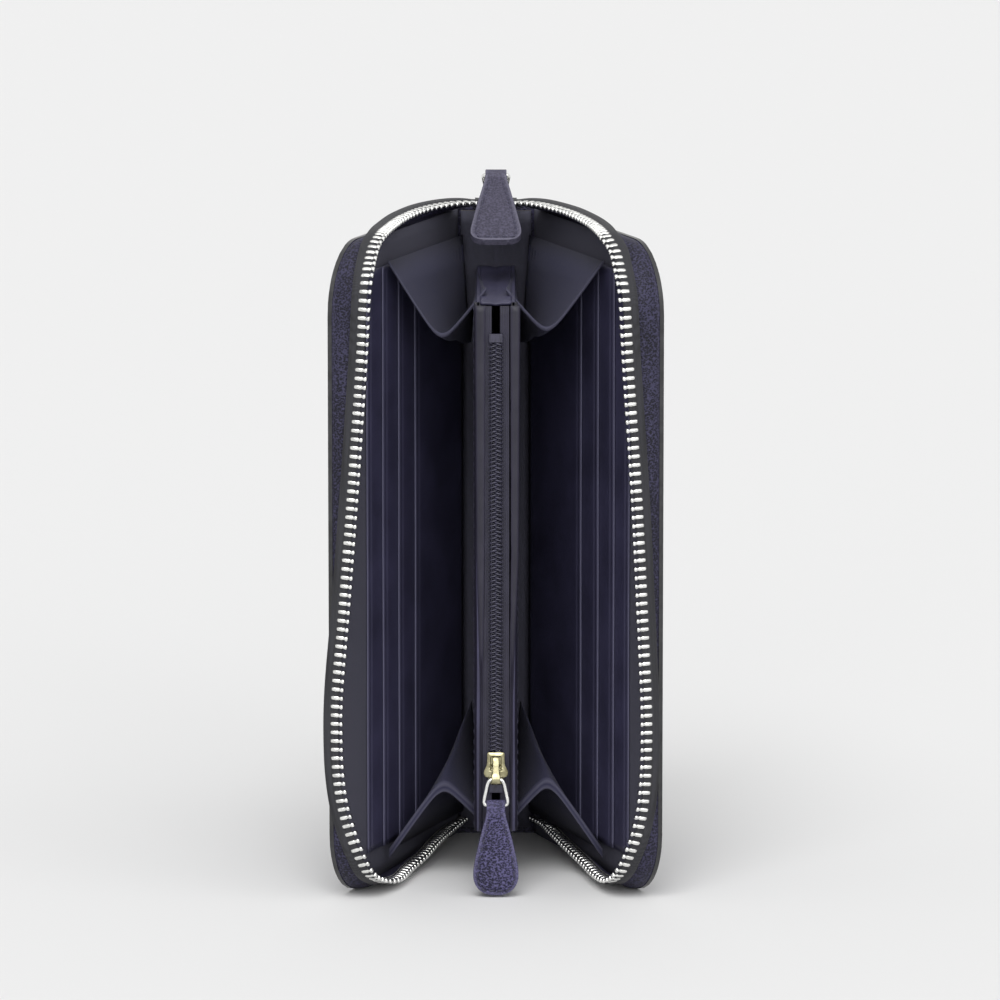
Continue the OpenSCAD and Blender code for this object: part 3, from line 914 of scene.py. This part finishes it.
def make_wall(name, side, stations):
    """The leather strip sewn between a cover's edge and the zip tape."""
    outer, inner, weights, wear_and_highlight = [], [], [], []
    path, normals, path_weights = [], [], []
    for st in stations[::2]:
        row = wall_section(side, st)
        ps = [p for p, w in row]
        into = st["into"]
        deep = unit(np.array(cover_point(side, into[0], 0, into[1])) - cover_point(side, 0, 0, 0))
        outer.append(ps)
        inner.append([p + deep * WALL_T for p in ps])
        weights += [w for p, w in row]
        # Painted highlights: the strip's edge at the cover and its edge at the teeth are made lighter,
        # where their rounded edges catch the light.
        wear_and_highlight += [0.35] + [0.0] * (WALL_STEPS - 2) + [0.5]
        path.append(ps[7] * 0.75 + ps[6] * 0.25)
        normals.append(-deep)
        path_weights.append(row[7][1])
    obj = add_slab(name + "_wall_strip", outer, inner, ("outer_leather", "edge_paint"),
                   node=name + "_zip_wall", wear_and_highlight=wear_and_highlight)
    bend(obj)
    round_edges(obj, 0.25, 2)

    parts = stitch_parts(path, normals, pitch=2.9, long=2.0, thick=0.2, proud=0.05)
    obj = add_parts(name + "_wall_stitches", parts, "thread")
    bend(obj)


# ---------- inside: card pockets, gussets and coin pocket ----------

CARD_ENDS = {"left": (78.0, 67.0, 56.0, 44.5), "right": (81.5, 71.0, 60.0, 48.0)}
CARD_LOW = 10.0
CARD_HIGH = LENGTH - 10.0
CARD_T = 0.6


def make_card_row(name, side, row):
    """One card pocket layer: turned and creased front edge, slack between its seams."""
    last = CARD_ENDS[name][row - 1]
    t0 = LINING_T1 + CARD_T * (row - 1)
    columns = list(np.linspace(6.0, last - 9, 16))
    columns += [last - f for f in (7, 5.2, 3.8, 3.0, 2.6, 2.2, 1.8, 1.4, 1.0, 0.6, 0.3, 0.1, 0.0)]
    zs = np.linspace(CARD_LOW, CARD_HIGH, 90)
    outer, inner, wear_and_highlight = [], [], []
    for u in columns:
        edge = last - u
        row_out, row_in = [], []
        for z in zs:
            slack = 0.14 * math.sin(math.pi * (z - CARD_LOW) / (CARD_HIGH - CARD_LOW)) ** 2
            wave = slack * math.sin(z * 0.041 + row * 1.7) * smoothstep(edge, 12, 0)
            crease = 0.16 * math.exp(-((edge - 2.2) / 0.45) ** 2)
            seam = 0.1 * math.exp(-((z - LENGTH / 2) / 0.6) ** 2)
            roll = 0.12 * (1 - smoothstep(edge, 0, 0.5))
            row_out.append(cover_point(side, u + wave, t0 + roll, z))
            row_in.append(cover_point(side, u + wave, t0 + CARD_T - crease - seam - roll - 0.03, z))
            # Painted highlights: the front edge and a thin line by the crease are made lighter.
            wear_and_highlight.append(0.6 * math.exp(-(edge / 0.7) ** 2) + 0.25 * math.exp(-((edge - 2.9) / 0.35) ** 2))
        outer.append(row_out)
        inner.append(row_in)
    add_slab("%s_card_pocket_%d" % (name, row), outer, inner, "inner_leather", name + "_cover",
             "%s_card_row_%d" % (name, row), wear_and_highlight + wear_and_highlight)


GUSSET_S = (8.0, 64.0)
GUSSET_END = 9.0
GUSSET_T = 0.6
POCKET_X = 5.9
HEM = {"top": 1.3, "bottom": 3.0}
LAP = {"top": 3.0, "bottom": 0.0}
FOLDS = {("left", "top"): (31.5, 42.0, 17.2, 0.40), ("right", "top"): (29.5, 42.0, 17.2, 0.37),
         ("left", "bottom"): (29.5, 43.0, 21.5, 0.40), ("right", "bottom"): (30.5, 43.0, 21.5, 0.39)}


def gusset_cover_x(s):
    """How far from the middle plane a gusset meets its cover's card pockets."""
    return 6.93 + 0.384 * (s - 0.3)


def gusset_line(name, end, s, lowered=0.0):
    """Points across a gusset at s, from the cover over the fold to the coin pocket."""
    front, back, pocket, share = FOLDS[(name, end)]
    f = (s - GUSSET_S[0]) / (GUSSET_S[1] - GUSSET_S[0])
    x_cover = gusset_cover_x(s)
    x_fold = POCKET_X + (x_cover - POCKET_X) * share
    p0 = np.array((x_cover, GUSSET_END))
    p1 = np.array((x_fold, back + (front - back) * f))
    x_pocket = POCKET_X - LAP[end] * f
    p2 = np.array((x_pocket, pocket + 2.0 * (1 - f)))
    p1 = p1 + (p1 - (p0 + p2) / 2) * 0.12
    line = []
    for g in (0, 0.03, 0.07, 0.12, 0.18, 0.25, 0.32, 0.39, 0.45, 0.5,
              0.55, 0.61, 0.68, 0.75, 0.82, 0.88, 0.93, 0.97, 1):
        a, b, c = (1 - g) ** 2, 2 * 6.5 * g * (1 - g), g * g
        x, h = (a * p0 + b * p1 + c * p2) / (a + b + c)
        h += 0.35 * math.sin(s * 0.23 + g * 5) * math.sin(math.pi * g) - lowered
        line.append((x, s, h))
    return line


def make_gusset(name, side, end):
    """A folded cloth gusset that closes one end of a note bay, and its turned front hem."""
    flip = (lambda h: LENGTH - h) if end == "top" else (lambda h: h)
    ss = list(np.linspace(GUSSET_S[0], GUSSET_S[1], 24))
    middle = [gusset_line(name, end, s) for s in ss]
    top = [[(side * x, s, flip(h)) for x, s, h in row] for row in middle]
    under = [[(side * x, s, flip(h - GUSSET_T)) for x, s, h in row] for row in middle]
    # Painted highlights: the front edge row and a band along the fold ridge are made lighter.
    wear_and_highlight = [0.5 * (i == len(ss) - 1) + 0.10 * (6 < j < 12) for i in range(len(ss)) for j in range(19)]
    body = add_slab("%s_%s_gusset_cloth" % (name, end), top, under, "gusset_lining",
                    node="%s_%s_gusset" % (name, end), wear_and_highlight=wear_and_highlight + wear_and_highlight)

    bend(body)

    rings = []
    last = GUSSET_S[1]
    tall = HEM[end]
    for x, s, h in gusset_line(name, end, last):
        ring = [(0.0, 0.05), (0.35, 0.0), (0.75, -0.35), (0.8, -0.8), (0.62, -tall / 2),
                (0.8, -tall + 0.7), (0.75, -tall + 0.3), (0.35, -tall), (0.0, -tall + 0.1)]
        rings.append([(side * x, last - 0.6 + ds, flip(h + dh)) for ds, dh in ring])
    hem = add_parts("%s_%s_gusset_hem" % (name, end), [tube(rings)], "gusset_lining")
    # Painted highlights: two light lines along the hem's upper fold and its lower edge.
    paint(hem, "wear_and_highlight", [0, 0.75, 0.75, 0.75, 0, 0.75, 0.75, 0, 0] * len(rings))
    bend(hem)


POCKET_LOW = 18.5
POCKET_HIGH = LENGTH - 18.5
PANEL = (4.6, 5.6)
PANEL_S = 2.8
PANEL_SEAM = 1.6
TAPE_S = 82.6
TAPE_X = (1.2, 3.88)
MOUTH_S = 83.2


def make_coin_panel(name, side):
    """One side of the coin pocket: thin leather, slightly swollen between its seams."""
    ss = np.linspace(PANEL_S, MOUTH_S, 42)
    zs = np.linspace(POCKET_LOW, POCKET_HIGH, 70)
    outer, inner = [], []
    for s in ss:
        row_out, row_in = [], []
        for z in zs:
            edge = min(z - POCKET_LOW, POCKET_HIGH - z)
            swell = 0.22 * smoothstep(edge, 0, 25) * math.sin(math.pi * (s - PANEL_S) / (MOUTH_S - PANEL_S))
            uneven = swell + 0.08 * math.sin(z * 0.11 + s * 0.05 + side) * smoothstep(edge, 0, 10)
            seam = stitch_dip(edge, PANEL_SEAM, 0.2, 0.5)
            row_out.append((side * (PANEL[1] + uneven - seam), s, z))
            row_in.append((side * (PANEL[0] + max(0.0, uneven) * 0.5), s, z))
        outer.append(row_out)
        inner.append(row_in)
    obj = add_slab("coin_%s_panel_leather" % name, outer, inner, "inner_leather", "core",
                   "coin_pocket_%s_panel" % name)
    round_edges(obj, 0.2, 2)
    parts = []
    for z in (POCKET_LOW + PANEL_SEAM, POCKET_HIGH - PANEL_SEAM):
        path = [(side * (PANEL[1] - 0.12), s, z) for s in np.linspace(6, MOUTH_S - 9, 60)]
        parts += stitch_parts(path, [(side, 0, 0)] * 60, pitch=3.0, long=2.1, thick=0.22)
    add_parts("coin_%s_panel_stitches" % name, parts, "thread", "core")


def make_coin_seam(end):
    """A sewn end of the coin pocket, pinched in along its middle."""
    node = "coin_pocket_%s_seam" % end
    lo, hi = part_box(node)
    out = 1 if end == "top" else -1
    near, far = sorted((lo.z / MM, hi.z / MM), reverse=out < 0)
    outer, inner = [], []
    for s in np.linspace(SPINE_Y - hi.y / MM, SPINE_Y - lo.y / MM, 40):
        xs = np.linspace(lo.x / MM, hi.x / MM, 13)
        dips = [0.45 * math.exp(-(x / 1.1) ** 2) + 0.06 * math.sin(s * 0.4 + x) for x in xs]
        outer.append([(x, s, far - out * max(0.0, d)) for x, d in zip(xs, dips)])
        inner.append([(x, s, near - out * 0.5 * max(0.0, d)) for x, d in zip(xs, dips)])
    add_slab("coin_%s_seam_leather" % end, outer, inner, "inner_leather", "core", node)


BINDING_FRONT = {"left": ((18.5, 4.1, 5.0), (60, 3.7, 4.6), (100, 3.2, 5.6), (173.5, 3.0, 6.0)),
                 "right": ((18.5, 3.9, 4.8), (60, 4.0, 5.0), (100, 4.4, 6.6), (173.5, 4.2, 7.0))}


def make_binding(name, side):
    """The leather folded over one edge of the coin pocket's mouth, with its stitches."""
    zs = np.linspace(POCKET_LOW, POCKET_HIGH, 90)
    table = np.array(BINDING_FRONT[name])
    rings, path, wear_and_highlight = [], [], []
    for z in zs:
        inn = np.interp(z, table[:, 0], table[:, 1])
        out = np.interp(z, table[:, 0], table[:, 2])
        deep = 0.06 * math.sin(z * 0.31 + side) + 0.05 * math.sin(z * 0.83)
        front = MOUTH_S + 0.7 + deep
        back_in = max(3.95, inn)
        profile = [(6.3, 76.2), (6.36, 77.6), (6.22, 79.0), (6.3, 80.6), (6.2, 82.0),
                   (out + 0.1, front - 0.9), (out - 0.15, front - 0.25), (out - 0.6, front),
                   ((inn + out) / 2, front + 0.06), (inn + 0.6, front), (inn + 0.12, front - 0.3),
                   (inn, front - 0.75), (back_in, MOUTH_S + 0.02), (4.55, 82.4), (4.55, 76.4)]
        rings.append([(side * x, s, z) for x, s in profile])
        wear_and_highlight += [0, 0, 0, 0, 0, 0.1, 0.35, 0.1, 0.0, 0.15, 0.6, 0.2, 0, 0, 0]
        path.append((side * 6.22, 79.0, z))
    obj = add_parts("coin_%s_binding_leather" % name, [tube(rings)], "binding_leather", "core")
    paint(obj, "wear_and_highlight", wear_and_highlight)
    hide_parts("coin_%s_binding" % name)
    parts = stitch_parts(path, [(side, 0, 0)] * len(path), pitch=3.0, long=2.1, thick=0.24)
    add_parts("coin_%s_binding_stitches" % name, parts, "thread", "core")


def make_coin_tape(name, side):
    """The woven tape between the binding and the coil, ribbed along its length."""
    outer, inner = [], []
    for x in np.linspace(*TAPE_X, 15):
        rib = 0.07 * math.sin(x * 9)
        zs = np.linspace(POCKET_LOW + 0.2, POCKET_HIGH - 0.2, 60)
        outer.append([(side * x, MOUTH_S + rib + 0.04 * math.sin(z * 0.5), z) for z in zs])
        inner.append([(side * x, TAPE_S, z) for z in zs])
    add_slab("coin_%s_tape_cloth" % name, outer, inner, "coin_tape", "core", "coin_%s_tape" % name)


COIL_Z = (32.7, 163.0)
COIL_PITCH = 1.25
COIL_S = 83.9
COIL_R = 0.27


def make_coil(name, side):
    """One half of the nylon coil: a flattened spiral sewn to the tape's edge."""
    low, high = COIL_Z
    steps = 14
    path = []
    for k in range(int((high - low) / COIL_PITCH * steps)):
        a = 2 * math.pi * k / steps
        z = low + COIL_PITCH * (k / steps + (0.5 if side > 0 else 0) + 0.078 * math.sin(a))
        path.append((side * (0.72 + 0.98 * math.cos(a)), COIL_S + 0.48 * math.sin(a), z))
    path = [p for p in path if p[2] < high]
    rings = []
    for p, along in zip(path, tangents(path)):
        one = unit(np.cross(along, (0.0, 0.0, 1.0)))
        two = np.cross(along, one)
        rings.append([np.array(p) + COIL_R * (one * math.cos(b) + two * math.sin(b))
                      for b in circle(7)])
    obj = add_parts("coin_%s_coil_turns" % name, [tube(rings)], "coil", "core")
    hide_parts("coin_%s_coil" % name)
    parts = []
    for x in (1.25, 2.0):
        line = [(side * x, 84.42 - 0.35 * (x > 1.5), z) for z in np.linspace(low + 1, high - 1, 200)]
        parts += stitch_parts(line, [(0, 1, 0)] * len(line), pitch=COIL_PITCH, long=1.0, thick=0.15,
                              proud=0.02)
    add_parts("coin_%s_coil_stitches" % name, parts, "coin_tape", "core")


# ---------- sliders, links and pulls ----------


def dress_metal(node):
    """Rounds a CAD node's edges with modifiers and leaves its mesh alone."""
    obj = frame["nodes"][node]
    sharp = obj.data.attributes.get("custom_normal")
    if sharp:
        obj.data.attributes.remove(sharp)
    for polygon in obj.data.polygons:
        polygon.use_smooth = True
    weld = obj.modifiers.new("weld", "WELD")
    weld.merge_threshold = 2e-6
    round_edges(obj, 0.16, 3, 32)


def make_link(node, top, low, half_top, half_low, r):
    """A closed wire loop between two cross bars given as (s, z)."""
    top = np.array((0.0, *top))
    low = np.array((0.0, *low))
    middle = (top + low) / 2
    reach = (top - low) / 2
    normal = unit(np.cross(reach, (1.0, 0.0, 0.0)))
    path = []
    for a in circle(96):
        c, d = (math.copysign(abs(v) ** 0.36, v) for v in (math.cos(a), math.sin(a)))
        half = half_low + (half_top - half_low) * (d + 1) / 2
        path.append(middle + reach * d + np.array((c * half, 0, 0)))
    path = np.array(path + path[:1])
    run = run_length(path)
    path = spot_at(np.linspace(0, run[-1], 73)[:-1], run, path)
    rings = []
    for i, p in enumerate(path):
        along = unit(path[(i + 1) % len(path)] - path[i - 1])
        side = np.cross(along, normal)
        rings.append([p + r * (normal * math.cos(b) + side * math.sin(b)) for b in circle(12)])
    points = [tuple(p) for ring in rings for p in ring]
    faces = grid_faces(len(rings), 12, close_rows=True, close_columns=True)
    obj = add_mesh(node + "_wire", points, faces, "zip_metal", node)
    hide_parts(node)


def make_pull(node, look, wire, down, normal, shape, thick, bore, inset):
    """A stitched leather pull folded round its wire.

    wire is the fold's centre as (s, z), shape is (distance, half width) down the pull.
    """
    origin = np.array((0.0, *wire))
    down = np.array((0.0, *down))
    normal = np.array((0.0, *normal))
    shape = np.array(shape, float)
    line = smooth_curve(shape, 0.35)
    length = shape[-1, 0]
    fold = thick / 2 + 0.4
    across = (-1, -0.97, -0.9, -0.8, -0.68, -0.5, -0.25, 0, 0.25, 0.5, 0.68, 0.8, 0.9, 0.97, 1)
    outer, inner, wear_and_highlight = [], [], []
    keep = [i for i in range(len(line)) if line[i, 0] > 1.4]
    for i in keep:
        l, half = line[i]
        row_out, row_in = [], []
        for f in across:
            edge = min((1 - abs(f)) * half, (length - l))
            grown = (fold - thick / 2) * (1 - smoothstep(l, 1.0, 6.0))
            dip = stitch_dip(edge, inset, 0.30, 0.42) * smoothstep(l, 2.5, 4.5)
            crown = 0.12 * smoothstep(edge, inset, inset + 2.5) - 0.2 * (1 - smoothstep(edge, 0, 0.7))
            h = thick / 2 + grown - dip + crown - 0.05
            spot = origin + down * l + np.array((f * half, 0, 0))
            row_out.append(spot + normal * h)
            row_in.append(spot - normal * h)
            wear_and_highlight.append(0.8 * math.exp(-((edge - 0.35) / 0.35) ** 2) + 0.2 * (l < 3))
        outer.append(row_out)
        inner.append(row_in)
    obj = add_slab(node + "_leather", outer, inner, look, node, node, wear_and_highlight + wear_and_highlight)
    round_edges(obj, 0.35, 3, 55)

    half = line[keep[0], 1]
    wide = [np.array((f * half, 0, 0)) for f in np.linspace(-1, 1, 9)]
    turn = [normal * math.cos(a) - down * math.sin(a) for a in np.linspace(0, math.pi, 19)]
    outer = [origin + fold * v for v in turn]
    inner = [origin + bore * v for v in turn]
    low = origin + down * 1.9
    outer = [low + normal * (fold - 0.07)] + outer + [low - normal * (fold - 0.07)]
    inner = [low + normal * 0.1] + inner + [low - normal * 0.1]
    wear_and_highlight = [0.2] * 9 + ([0.6] + [0.25] * 7 + [0.6]) * 19 + [0.2] * 9
    loop = add_slab(node + "_loop", [[p + x for x in wide] for p in outer],
                    [[p + x for x in wide] for p in inner], look, node, wear_and_highlight=wear_and_highlight + wear_and_highlight)
    round_edges(loop, 0.25, 2, 55)

    border = [(half - inset, l) for l, half in line if 4.5 < l < length - inset]
    if border[-1][0] > 0.5:
        border += [(x, length - inset) for x in np.linspace(border[-1][0] - 0.4, 0.0, 6)]
    path = border + [(-x, l) for x, l in reversed(border[:-1])]
    parts = []
    for way in (1, -1):
        face = origin + normal * way * (thick / 2 - 0.2)
        spots = [face + down * l + np.array((x, 0, 0)) for x, l in path]
        parts += stitch_parts(spots, [normal * way] * len(spots), pitch=2.4, long=1.75, thick=0.26,
                              proud=0.06)
    add_parts(node + "_stitches", parts, "thread", node)


END_TEETH_Z = 193.35
END_TAPE_Z = (193.05, 193.62)


def make_zip_end():
    """The joined teeth behind the slider, and the tape under them, at the spine."""
    teeth = []
    for k in range(6):
        side = 1 if k % 2 else -1
        station = {"p": np.array((side * 1.45, 1.5 + k * TOOTH_PITCH / 2, END_TEETH_Z)),
                   "along": np.array((0.0, 1.0, 0.0)), "way": np.array((-side, 0.0, 0.0)),
                   "up": np.array((0.0, 0.0, 1.0))}
        teeth.append(tooth_part(station, 0.78))
    obj = add_parts("zip_end_teeth", teeth, "zip_metal", "core")
    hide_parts("zip_end_chain")
    ss = np.linspace(0.3, 11.0, 12)
    xs = np.linspace(-6.2, 6.2, 25)
    outer = [[(x, s, END_TAPE_Z[1] + 0.05 * math.sin(x * 5)) for x in xs] for s in ss]
    inner = [[(x, s, END_TAPE_Z[0]) for x in xs] for s in ss]
    add_slab("zip_end_cloth", outer, inner, "zip_tape", "core", "zip_end_tape")


SLOPE = math.radians(28)
MAIN_SHAPE = ((0, 3.1), (3, 3.25), (8, 4.1), (16, 5.5), (24, 6.75), (28.5, 7.4), (31, 7.3),
              (32.8, 6.3), (33.7, 4.6), (34, 2.4))
COIN_SHAPE = ((0, 2.6), (3, 2.85), (7, 3.9), (12, 5.15), (17, 6.2), (20.5, 6.6), (23, 6.2),
              (25, 4.9), (26.2, 3.0), (26.6, 1.2))


SLIDER_SHAPE = ((0, 1.25), (0.35, 1.6), (1.2, 1.9), (1.9, 2.1), (2.35, 3.1), (3.0, 3.46), (3.8, 3.48),
                (4.7, 3.1), (5.6, 2.72), (6.6, 2.56), (8.6, 2.5), (9.2, 2.45), (9.5, 2.25))
PLATE_S = (81.3, 84.85)
PLATE_T = 1.15
# Where the links and pulls turn, as (s, z).
MAIN_EYE = (8.7, 197.6)
MAIN_WIRE = (11.8, 202.02)
LUG = (87.45, 34.8)
COIN_WIRE = (87.45, 27.2)
SLIDER_FOOT = LUG[1] - 1.8


def slider_plate(back, proud, recess):
    """One shouldered plate of the coin slider, crowned to the front and pressed in the middle."""
    across = (-1, -0.97, -0.9, -0.78, -0.64, -0.56, -0.4, 0, 0.4, 0.56, 0.64, 0.78, 0.9, 0.97, 1)
    line = smooth_curve(SLIDER_SHAPE, 0.3)
    front, rear = [], []
    for h, half in line:
        row = []
        for f in across:
            edge = min((1 - abs(f)) * half, SLIDER_SHAPE[-1][0] - h, h)
            crown = proud * smoothstep(edge, 0, 1.3) - 0.22 * (1 - smoothstep(edge, 0, 0.3))
            press = recess * smoothstep(1.75 - abs(f) * half, 0, 0.35)
            press *= smoothstep(h, 4.0, 4.6) * (1 - smoothstep(h, 8.1, 8.6))
            row.append((f * half, back + PLATE_T + crown - press, SLIDER_FOOT + h))
        front.append(row)
        rear.append([(p[0], back, p[2]) for p in row])
    return slab(front, rear)[:2]


def make_coin_slider():
    """Two shouldered plates joined by a post, and a bridge that holds the link."""
    face = PLATE_S[1] + PLATE_T
    parts = [slider_plate(PLATE_S[0], 0.0, 0.0), slider_plate(PLATE_S[1], 0.3, 0.55)]
    post = [[(x, PLATE_S[0] + 0.6 + y, SLIDER_FOOT + 1.25 + z) for x, z in block_rings(0.6, 1.1, 0.3)]
            for y in (0, PLATE_S[1] - PLATE_S[0])]
    parts.append(tube(post))
    arch = smooth_curve(((face - 0.4, 41.6), (face + 0.75, 40.9), (face + 1.35, 39.6), (face + 1.6, 38.0),
                         (face + 1.95, 36.6), (LUG[0] + 1.05, 35.5), (LUG[0] + 1.05, 34.4),
                         (LUG[0] + 0.55, 33.75), (LUG[0] - 0.4, 33.55), (face - 0.4, 33.5)), 0.3)
    rings = []
    for (s, z), along in zip(arch, tangents(arch)):
        grown = 1.0 + 0.35 * smoothstep(z, 37.5, 35.5)
        rings.append([(x * grown, s - along[1] * y, z + along[0] * y)
                      for x, y in block_rings(0.95, 0.34, 0.22)])
    parts.append(tube(rings))
    obj = add_parts("coin_slider_body", parts, "pale_gold_metal", "coin_slider")
    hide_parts("coin_slider")
    round_edges(obj, 0.1, 2, 40)


def make_hardware():
    """Both zips' sliders, links and pulls."""
    for node in ("main_slider", "coin_top_stop", "coin_bottom_stop"):
        dress_metal(node)
    make_coin_slider()
    make_link("main_link", MAIN_EYE, MAIN_WIRE, 2.9, 3.85, 0.72)
    make_link("coin_link", LUG, COIN_WIRE, 2.2, 3.75, 0.6)
    make_pull("main_pull", "pull_leather", MAIN_WIRE, (math.cos(SLOPE), -math.sin(SLOPE)),
              (math.sin(SLOPE), math.cos(SLOPE)), MAIN_SHAPE, 2.4, 0.82, 1.5)
    make_pull("coin_pull", "coin_pull_leather", COIN_WIRE, (0.0, -1.0), (1.0, 0.0), COIN_SHAPE,
              2.3, 0.67, 1.3)
    make_zip_end()


# ---------- the whole wallet ----------


def dress_cad():
    """Gives each CAD node that is shown its own material."""
    for part in frame["record"]["subparts"]:
        obj = frame["nodes"][part["node"]]
        obj.data.materials.clear()
        obj.data.materials.append(LOOKS[part["material_slot"]])


make_stage()
make_lights()
make_camera()
dress_cad()
for NAME, SIDE in SIDES:
    make_outer_leather(NAME, SIDE)
    make_cover_stitches(NAME, SIDE)
    make_lining(NAME, SIDE)
    STATIONS = zip_stations(NAME, SIDE)
    make_row(NAME, STATIONS)
    make_wall(NAME, SIDE, STATIONS)
    for ROW in (1, 2, 3, 4):
        make_card_row(NAME, SIDE, ROW)
    make_coin_panel(NAME, SIDE)
    for END in ("top", "bottom"):
        make_gusset(NAME, SIDE, END)
    make_binding(NAME, SIDE)
    make_coin_tape(NAME, SIDE)
    make_coil(NAME, SIDE)
make_spine_stitches()
make_spine_lining()
make_coin_seam("top")
make_coin_seam("bottom")
make_hardware()
